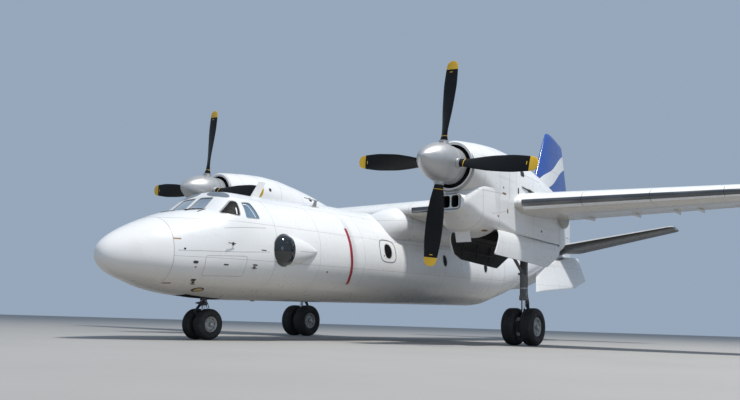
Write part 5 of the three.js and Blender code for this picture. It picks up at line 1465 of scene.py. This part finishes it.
def nose_gear():
    low = NOSE["height"]
    column = upright([(0.06, 0.836), (0.072, 0.838), (0.078, 0.85), (0.078, 0.93), (0.072, 0.945),
                      (0.072, 1.3496)], 0, NOSE_LEG)
    brace = [rod(at(0, NOSE_LEG - 0.02, 0.9), at(0, 2.47, 1.3), 0.03, sides=20),
             rod(at(0, 2.47, 1.26), at(0, 2.47, 1.35), 0.042, sides=20),
             pin(0, NOSE_LEG, 1.27, 0.11, 0.045, 20),
             pin(0, 2.47, 1.3, 0.06, 0.03, 16)]
    build("nose_leg_column", [column, *brace], GEAR_DARK, "gear_metal", "nose_leg")
    collar = upright([(0.05, 0.735), (0.08, 0.738), (0.084, 0.75), (0.084, 0.815), (0.078, 0.8285), (0.03, 0.83),
                      (0.029, 0.88)], 0, NOSE_LEG)
    foot = upright([(0.04, low + 0.035), (0.056, low + 0.045), (0.056, low + 0.1), (0.047, low + 0.12)], 0,
                   NOSE_LEG)
    eye = turned_rings([(0.034, -0.052), (0.056, -0.052), (0.062, -0.045), (0.062, 0.045), (0.056, 0.052),
                        (0.034, 0.052)], at(0, NOSE_LEG, low), ACROSS, 36)
    knee = at(0, NOSE_LEG - 0.23, 0.595)
    lever = NOSE_LEG - 0.075
    links = [link(at(0, NOSE_LEG - 0.06, 0.775), knee, 0.05, 0.024, 0.012),
             link(at(0, NOSE_LEG - 0.045, 0.41), knee, 0.045, 0.024, 0.012),
             pin(0, NOSE_LEG - 0.23, 0.595, 0.034, 0.014, 14),
             pin(0, lever, 0.785, 0.1, 0.024, 18),
             *(rod(at(a, lever, 0.785), at(b, lever, 0.785), 0.014, sides=14)
               for a, b in ((-0.16, -0.1), (0.1, 0.16)))]
    lug = prism(rounded([(3.015, 0.29), (3.11, 0.29), (3.11, 0.37), (3.015, 0.37)], 0.012, 3), "side", -0.03, 0.03,
                GEAR_DARK)
    fork = join("nose_fork_frame", [many_lofts("fork", [collar, foot, eye, *links], GEAR_DARK), lug])
    piston = loft("nose_piston", upright([(0.0455, low + 0.03), (0.0455, 0.77)], 0, NOSE_LEG), CHROME)
    hoses = many_lofts("nose_hoses", [
        tube([at(out, NOSE_LEG + 0.085, 0.8), at(out, NOSE_LEG + 0.14, 0.68), at(out, NOSE_LEG + 0.13, 0.52),
              at(out * 0.8, NOSE_LEG + 0.05, low + 0.07)], 0.008, 10) for out in (-0.03, 0.03)], RUBBER)
    place(fork, "nose_fork", "gear_metal", "nose_steering")
    place(piston, "nose_fork", "gear_metal")
    place(hoses, "nose_fork", "tyre")
    wheel_pair(NOSE, 0, NOSE_LEG, "nose_wheels", ("nose_tyre_port", "nose_tyre_starboard"), "nose_hubs")


for name, side in SIDES:
    main_leg(name, side)
nose_gear()


# Details on the fuselage

# Station, half width, lowest and highest point
ROOT_FAIRING = (
    (8.18, 1.0, 2.74, 3.2), (8.24, 1.2, 2.65, 3.34), (8.34, 1.36, 2.61, 3.45), (8.48, 1.48, 2.61, 3.54),
    (8.68, 1.56, 2.65, 3.6), (9.0, 1.6, 2.7, 3.64), (9.4, 1.6, 2.72, 3.64), (12, 1.58, 2.78, 3.6),
    (13, 1.48, 2.9, 3.5), (13.6, 1.3, 3.0, 3.4), (14.1, 1.0, 3.05, 3.3),
)


def root_fairings():
    stations = np.unique(np.round([*np.linspace(8.18, 9, 24), *np.linspace(9, 14.1, 27)], 3))
    rows = smooth_rows(ROOT_FAIRING, stations)
    for name, side in SIDES:
        rings = [[at(side * (half - 0.5 + 0.5 * math.cos(t)), station,
                     (low + high) / 2 + (high - low) / 2 * math.sin(t)) for t in circle(48)]
                 for station, half, low, high in rows]
        fix(loft("root_fairing_" + name, rings, WHITE_SKIN, sharp=50), "white_paint")


def blister():
    """Round observation window in its frame, with a pointed fairing aft of it"""
    station, height = 4.11, 1.985
    half, tall, base = 0.33, 0.35, 1.365

    def ellipse(x, half, tall, count):
        return [at(x, station + half * math.cos(t), height + tall * math.sin(t)) for t in circle(count)]

    rings = [ellipse(base + 0.25 * math.sqrt(1 - k**2), half * k, tall * k, 64) for k in np.linspace(0.06, 1, 22)]
    fix(loft("blister_dome", rings, DOME_GLASS, sharp=60), "window_glass", "blister_window")
    lay("blister_frame", [closed_tube(ellipse(1.385, half, tall, 72), 0.014, 10)], SEAL_GREY, "white_paint")
    rings = []
    for back, tall, x, lift in ((4.2, 0.335, 1.59, 0), (4.3, 0.335, 1.6, 0), (4.42, 0.328, 1.605, 0.003),
                                (4.55, 0.31, 1.6, 0.008), (4.7, 0.275, 1.585, 0.016), (4.85, 0.222, 1.56, 0.028),
                                (4.98, 0.155, 1.53, 0.04), (5.08, 0.09, 1.5, 0.052), (5.15, 0.03, 1.468, 0.06)):
        ring = [(math.cos(t), math.sin(t)) for t in circle(48)]
        rings.append([at(1.28 + (x - 1.28) * math.copysign(abs(c) ** 0.8, c), back,
                         height + lift + tall * math.copysign(abs(s) ** 0.95, s)) for c, s in ring])
    cone = loft("blister_fairing", rings, WHITE_SKIN, sharp=50)
    room = [ellipse(base + 0.26 * math.sqrt(1 - k * k), 0.338 * k, 0.358 * k, 64)
            for k in (0.05, 0.3, 0.5, 0.65, 0.8, 0.9, 0.96, 0.9999)]
    carve(cone, [loft("cut", room, PALE_GREY)], sharp=50)
    fix(cone, "white_paint")
    lay("blister_fairing_seam", [Surface(cone).strip([(4.42, 1.985), (4.8, 2.0), (5.12, 2.04)], 0.01, "port")],
        LINE_INK)


# Lines on the skin, as [look, width, closed, path]
SKIN_LINES = (
    ("port", 0.011, False, [(1.62, 1.765), (2.3, 1.8), (2.95, 1.84), (3.68, 1.905)]),
    ("port", 0.011, False, [(2.55, 2.3), (3.0, 2.36), (3.6, 2.415)]),
    ("port", 0.011, True, NOSE_HATCH),
    ("starboard", 0.012, True, CREW_DOOR),
    ("starboard", 0.011, True, NOSE_HATCH),
    ("port", 0.03, True, EXIT),
    ("starboard", 0.03, True, EXIT),
    ("port", 0.012, True, TROOP_DOOR),
    ("starboard", 0.012, True, TROOP_DOOR),
    ("bottom", 0.02, True, RAMP_SEAM),
    ("bottom", 0.012, False, [(0, 14.9), (0, 19.0)]),
)
# Small plates and spots, as [look, outline, finish]
SMALL_MARKS = (
    ("port", [(1.55, 1.98), (1.69, 1.985), (1.69, 2.01), (1.55, 2.005)], "bronze"),
    ("port", [(1.58, 1.115), (1.72, 1.12), (1.72, 1.138), (1.58, 1.133)], "bronze"),
    ("port", oval((1.746, 1.805), 0.022, 0.02, 14), "dark"),
    ("port", oval((1.971, 1.556), 0.05, 0.028, 16, 3), "dark"),
    ("port", oval((1.986, 1.459), 0.02, 0.018, 14), "bronze"),
    ("port", oval((2.62, 1.554), 0.06, 0.014, 16, 4), "dark"),
    ("port", oval((3.511, 1.926), 0.07, 0.01, 16, 4), "dark"),
    ("port", oval((3.33, 1.6), 0.06, 0.014, 16, 4), "dark"),
    ("port", oval((2.07, 1.21), 0.05, 0.02, 16, 4), "dark"),
    ("port", oval((5.62, 1.62), 0.03, 0.022, 16, 3), "bronze"),
    ("port", oval((7.83, 2.2), 0.02, 0.02, 14), "red"),
    ("starboard", oval((7.83, 2.2), 0.02, 0.02, 14), "red"),
    ("starboard", oval((1.971, 1.556), 0.05, 0.028, 16, 3), "dark"),
    ("starboard", oval((2.62, 1.554), 0.06, 0.014, 16, 4), "dark"),
)


def fuselage_details():
    lines, frames = [], []
    for look, width, closed, path in SKIN_LINES:
        (frames if path is EXIT else lines).append(SKIN.strip(path, width, look, closed=closed))
    lay("skin_seams", lines, LINE_INK)
    lay("exit_frames", frames, SEAL_GREY)
    build("radome_seam", [body_rings([1.545, 1.549, 1.554], -0.0012)], LINE_INK)
    for key, finish in (("bronze", BRONZE), ("dark", DARK_SEAL), ("red", RED_GLASS)):
        lay("small_marks_" + key, [SKIN.plate(outline, look, 0.003, 0.006, 2, 0.03)
                                   for look, outline, kind in SMALL_MARKS if kind == key], finish)
    band = [(6.41, 2.75), (6.43, 2.4), (6.45, 2.1), (6.49, 1.8), (6.53, 1.55), (6.57, 1.39)]
    lay("warning_bands", [SKIN.strip(band, 0.095, name, 0.0015, step=0.08) for name, _ in SIDES], RED_BAND,
        "white_paint")
    build("belly_pad", [rod(at(0, 4.6, 0.885), at(0, 4.6, 0.96), 0.045)], GEAR_GREY)
    lay("roof_windows", [SKIN.plate(oval((side * 0.46, 2.97), 0.33, 0.09, 32), "top", 0.002, 0.006, 4)
                         for _, side in SIDES], ROOF_GLASS, "window_glass")
    lay("roof_window_rims", [SKIN.strip(oval((side * 0.46, 2.97), 0.335, 0.095, 32), 0.012, "top", 0.003, 0.005,
                                        True, 0.08) for _, side in SIDES], SEAL_GREY)


def probe(label, name, station, z, length):
    """Air-data probe: a short stalk on a round plate, with a tube pointing forward"""
    point, normal = SKIN.hit(name, station, z)
    tip = point + normal * 0.05
    build(label + name, [rod(point - normal * 0.01, point + normal * 0.005, 0.034, sides=24),
                         rod(point, tip, 0.013, 0.01, sides=14),
                         tube([tip + [0, 0.035, 0], tip, tip - [0, length, 0]], 0.009, 12)], PROBE_METAL)


def landing_light(name):
    lay("landing_light_rim_" + name,
        [SKIN.plate(oval((2.37, 1.035), 0.125, 0.042, 32), name, 0.003, 0.01, 3, 0.03)], DARK_SEAL)
    lay("landing_light_" + name,
        [SKIN.plate(oval((2.375, 1.034), 0.085, 0.03, 28), name, 0.007, 0.006, 3, 0.03)], AMBER_GLASS,
        "window_glass")


# Blade, arm and foot of a wiper, as [path, width, lift]
WIPER = (([(0.2, 2.708), (0.52, 2.722)], 0.022, 0.014), ([(0.4, 2.655), (0.37, 2.72)], 0.014, 0.02),
         ([(0.6, 2.72), (0.655, 2.63)], 0.012, 0.012))


def wipers():
    for name, side in SIDES:
        lay("wiper_" + name, [SKIN.strip([(side * a, b) for a, b in path], width, "front", lift, 0.012, step=0.03)
                              for path, width, lift in WIPER], DARK_SEAL)
        rear = [(3.16, 2.885), (3.26, 2.89), (3.3, 2.85), (3.375, 2.62)]
        lay("window_bars_" + name,
            [SKIN.strip([(2.93, 2.78), (2.9, 2.635)], 0.022, name, -0.004, 0.012, step=0.04),
             SKIN.strip(rear, 0.02, name, 0.001, 0.014, step=0.04)], WHITE_TRIM, "white_paint")


def antennas():
    point, normal = SKIN.hit("top", 0.66, 5.9)
    base = point - normal * 0.02
    top = point + np.array([0.04, 0, 0.15])
    mast = [[spot + np.array([sx * half, sy * long, 0]) for sx, sy in ((-1, -1), (1, -1), (1, 1), (-1, 1))]
            for spot, half, long in ((base, 0.016, 0.07), (top, 0.008, 0.035))]
    wire = tube([top + [0, -0.42, 0.012], top + [0, -0.3, 0.004], top, top + [0, 0.09, 0.006]], 0.012, 10)
    build("mast_antenna", [mast, wire], SILVER)
    lay("mast_foot", [SKIN.plate(oval((0.66, 5.9), 0.06, 0.16, 24, 3), "top", 0.003, 0.01, 2)], PALE_GREY,
        "white_paint")


# Details on the nacelles and the wing

NACELLE_SEAMS = (
    (0.014, [(8.52, 4.62), (8.52, 4.3), (8.525, 3.9), (8.53, 3.56)]),
    (0.01, [(7.18, 3.585), (7.7, 3.6), (8.3, 3.636)]),
    (0.008, [(7.72, 3.09), (8.42, 3.24), (8.5, 3.56)]),
    (0.01, [(9.0, 4.7), (9.1, 4.3), (10.3, 4.25), (10.4, 4.58)]),
    (0.012, [(11.6, 4.3), (11.6, 3.5), (11.62, 2.8)]),
)
# Spots as [on the outer side, lift, centre, half length, half height, steps, power]
NACELLE_VENTS = (
    (True, 0.004, (9.24, 4.3), 0.11, 0.07, 20, 4), (False, 0.004, (8.4, 4.41), 0.05, 0.05, 16, 4),
    (False, 0.004, (10.33, 4.4), 0.07, 0.06, 18, 4), (True, 0.004, (9.01, 3.83), 0.035, 0.075, 18, 4),
    (True, 0.003, (10.42, 2.98), 0.035, 0.03, 16), (True, 0.003, (8.2, 3.78), 0.028, 0.022, 16),
)
NACELLE_MARKS = (
    (True, 0.0025, (8.24, 3.64), 0.1, 0.025, 18, 3), (True, 0.0025, (8.43, 3.24), 0.03, 0.06, 16, 3),
    (True, 0.0025, (7.72, 2.7), 0.09, 0.02, 16, 3), (True, 0.0025, (7.95, 3.06), 0.03, 0.025, 16),
)


def nacelle_details():
    for name, side in SIDES:
        skin = Surface(NACELLES[name])
        x = side * HALF_TRACK
        other = SIDES[side > 0][0]

        def spots(table):
            return [skin.plate(oval(*shape), name if outer else other, lift, 0.006, 2, 0.03)
                    for outer, lift, *shape in table]

        lay("nacelle_seams_" + name, [skin.strip(path, width, name) for width, path in NACELLE_SEAMS], LINE_INK)
        hole = rounded([(x - 0.25, 3.11), (x + 0.25, 3.11), (x + 0.25, 3.47), (x - 0.25, 3.47)], 0.1)
        lay("chin_lip_" + name, [skin.strip(hole, 0.035, "front", 0.006, 0.012, True)], COWL_LIP, "bare_metal")
        lay("nacelle_vents_" + name, spots(NACELLE_VENTS), DARK_SEAL)
        lay("nacelle_marks_" + name, spots(NACELLE_MARKS), BRONZE)
        point, normal = skin.hit(name, 9.2, 3.96)
        start, end = point + normal * 0.012, point + normal * 0.03 + np.array([0, 0.7, -0.06])
        step = start + (end - start) * 0.55
        build("nacelle_stay_" + name, [rod(start, step, 0.012, 0.02, sides=12),
                                       rod(step, end, 0.034, 0.022, sides=16)], DARK_SEAL)
        pipe = turned_loop([(0.19, -0.3), (0.214, -0.3), (0.214, 0.05), (0.206, 0.056), (0.2, 0.05)],
                           at(x, 12.98, EXHAUST_LINE), AFT, 56)
        lay("exhaust_pipe_" + name, [pipe], BRONZE, "engine_metal")


# A flap bracket's sections as [share of its length, depth, half width]
BRACKET = ((0, 0.0, 0.004), (0.2, 0.02, 0.014), (0.5, 0.035, 0.018), (0.75, 0.06, 0.02), (0.92, 0.085, 0.018),
           (1.0, 0.02, 0.006))


def bracket(x, side):
    """Flap bracket under the rear third of the wing"""
    chord, height, camber = chord_at(x), wing_height(x), 4 * CAMBER * 0.3 * 0.7
    rear = leading_at(x) + chord
    front = rear - 0.3 * chord
    sections = []
    for share, deep, wide in BRACKET:
        low = height + camber * chord - foil_half(0.58 + 0.4 * share, thickness_at(x)) * chord - 0.012
        drop = np.interp(share, (0, 1), (0.0, -0.06 * chord * 0.3))
        sections.append([at(side * (x + sx * wide), front + (rear - 0.02 - front) * share, low + drop + z)
                         for sx, z in ((-1, 0.02), (1, 0.02), (1, -deep * 0.6), (0.5, -deep), (-0.5, -deep),
                                       (-1, -deep * 0.6))])
    return sections


def wing_details():
    middle = Surface(WING_MIDDLE)
    lay("inner_wing_edges",
        [middle.strip([(side * 1.7, z), (side * 3.28, z)], 0.0305, "front", 0.003, 0.01, step=0.1)
         for _, side in SIDES for z in np.linspace(3.425, 3.545, 5)], EDGE_METAL, "polished_edge")
    outline = [(11.42, 3.5), (12.1, 3.56), (12.13, 3.45), (12.09, 3.35), (12.0, 3.27), (11.88, 3.225),
               (11.76, 3.235), (11.62, 3.3), (11.5, 3.39)]
    core = np.array([11.8, 3.45])
    for name, side in SIDES:
        rings = [[at(side * x, *(core + (np.array(p) - core) * scale)) for p in outline]
                 for x, scale in ((4.5, 0.86), (4.52, 0.97), (4.56, 1.0), (4.66, 1.0), (4.7, 0.97), (4.72, 0.86))]
        # The fairing's grey is painted shade under the wing
        build("flap_fairing_" + name, [rings], FAIRING_SHADE, "grey_paint")
        build("flap_brackets_" + name, [bracket(x, side) for x in (5.49, 6.73, 7.73, 8.3, 10.0, 11.7, 13.3)],
              WHITE_TRIM, "white_paint")
        lamp = tube([at(side * 14.5, 10.56, 3.578), at(side * 14.56, 10.62, 3.578),
                     at(side * 14.575, 10.72, 3.577)], 0.024, 12)
        build("wing_tip_light_" + name, [lamp], RED_GLASS if side > 0 else GREEN_GLASS, "window_glass")


root_fairings()
blister()
fuselage_details()
for name, _ in SIDES:
    probe("probe_upper_", name, 2.74, 1.99, 0.16)
    probe("probe_middle_", name, 3.32, 1.543, 0.1)
    probe("probe_lower_", name, 2.1, 1.165, 0.08)
    landing_light(name)
wipers()
antennas()
nacelle_details()
wing_details()
build("tail_light", [tube([at(0, 24.0, 4.15), at(0, 24.07, 4.15), at(0, 24.11, 4.15)], 0.03, 14)], LAMP_GLASS,
      "window_glass")


# Floor, light, and the finishes of the imported solids

def stage():
    bpy.ops.mesh.primitive_plane_add(size=400, location=(0, 0, 0))
    floor = bpy.context.object
    floor.name = "floor"
    s = Shader("floor_pale", (0.37, 0.362, 0.35), 0.8)
    s.tint(s.ramp(s.noise(0.4, 5), 0.4, 0.7), (0.33, 0.322, 0.31), 0.5)
    floor.data.materials.append(s.material)
    world = bpy.data.worlds.new("world")
    bpy.context.scene.world = world
    world.use_nodes = True
    back = world.node_tree.nodes["Background"]
    back.inputs[0].default_value = (0.62, 0.78, 1.0, 1)
    back.inputs[1].default_value = 0.5
    for name, spot, aim, size, power, colour in (
        ("key", (20, -8, 44), (0, -2, 2), 5, 23500, (1.0, 0.97, 0.92)),
        ("fill", (38, -24, 9), (2, -2, 3), 14, 500, (0.9, 0.95, 1.0)),
    ):
        data = bpy.data.lights.new(name, "AREA")
        data.size = size
        data.energy = power
        data.color = colour
        lamp = bpy.data.objects.new(name, data)
        lamp.location = spot
        lamp.rotation_euler = (Vector(aim) - Vector(spot)).to_track_quat("-Z", "Y").to_euler()
        bpy.context.scene.collection.objects.link(lamp)
    bpy.context.scene.view_settings.view_transform = "Standard"


stage()

# A solid that no piece replaces shows in the finish of its slot
CAST = {"white_paint": WING_SKIN, "blue_paint": FIN_PAINT, "grey_paint": TAIL_PAINT, "bare_metal": SILVER,
        "polished_edge": EDGE_METAL, "blade_black": BLADE_BLACK, "gear_metal": GEAR_GREY,
        "wheel_metal": WHEEL_METAL, "tyre": RUBBER, "window_glass": DOME_GLASS, "engine_metal": ENGINE_DARK}
SLOT_OF = {part["node"]: part["material_slot"] for part in frame["record"]["subparts"]}
for node, thing in frame["nodes"].items():
    thing.data.materials.clear()
    thing.data.materials.append(CAST[SLOT_OF[node]])
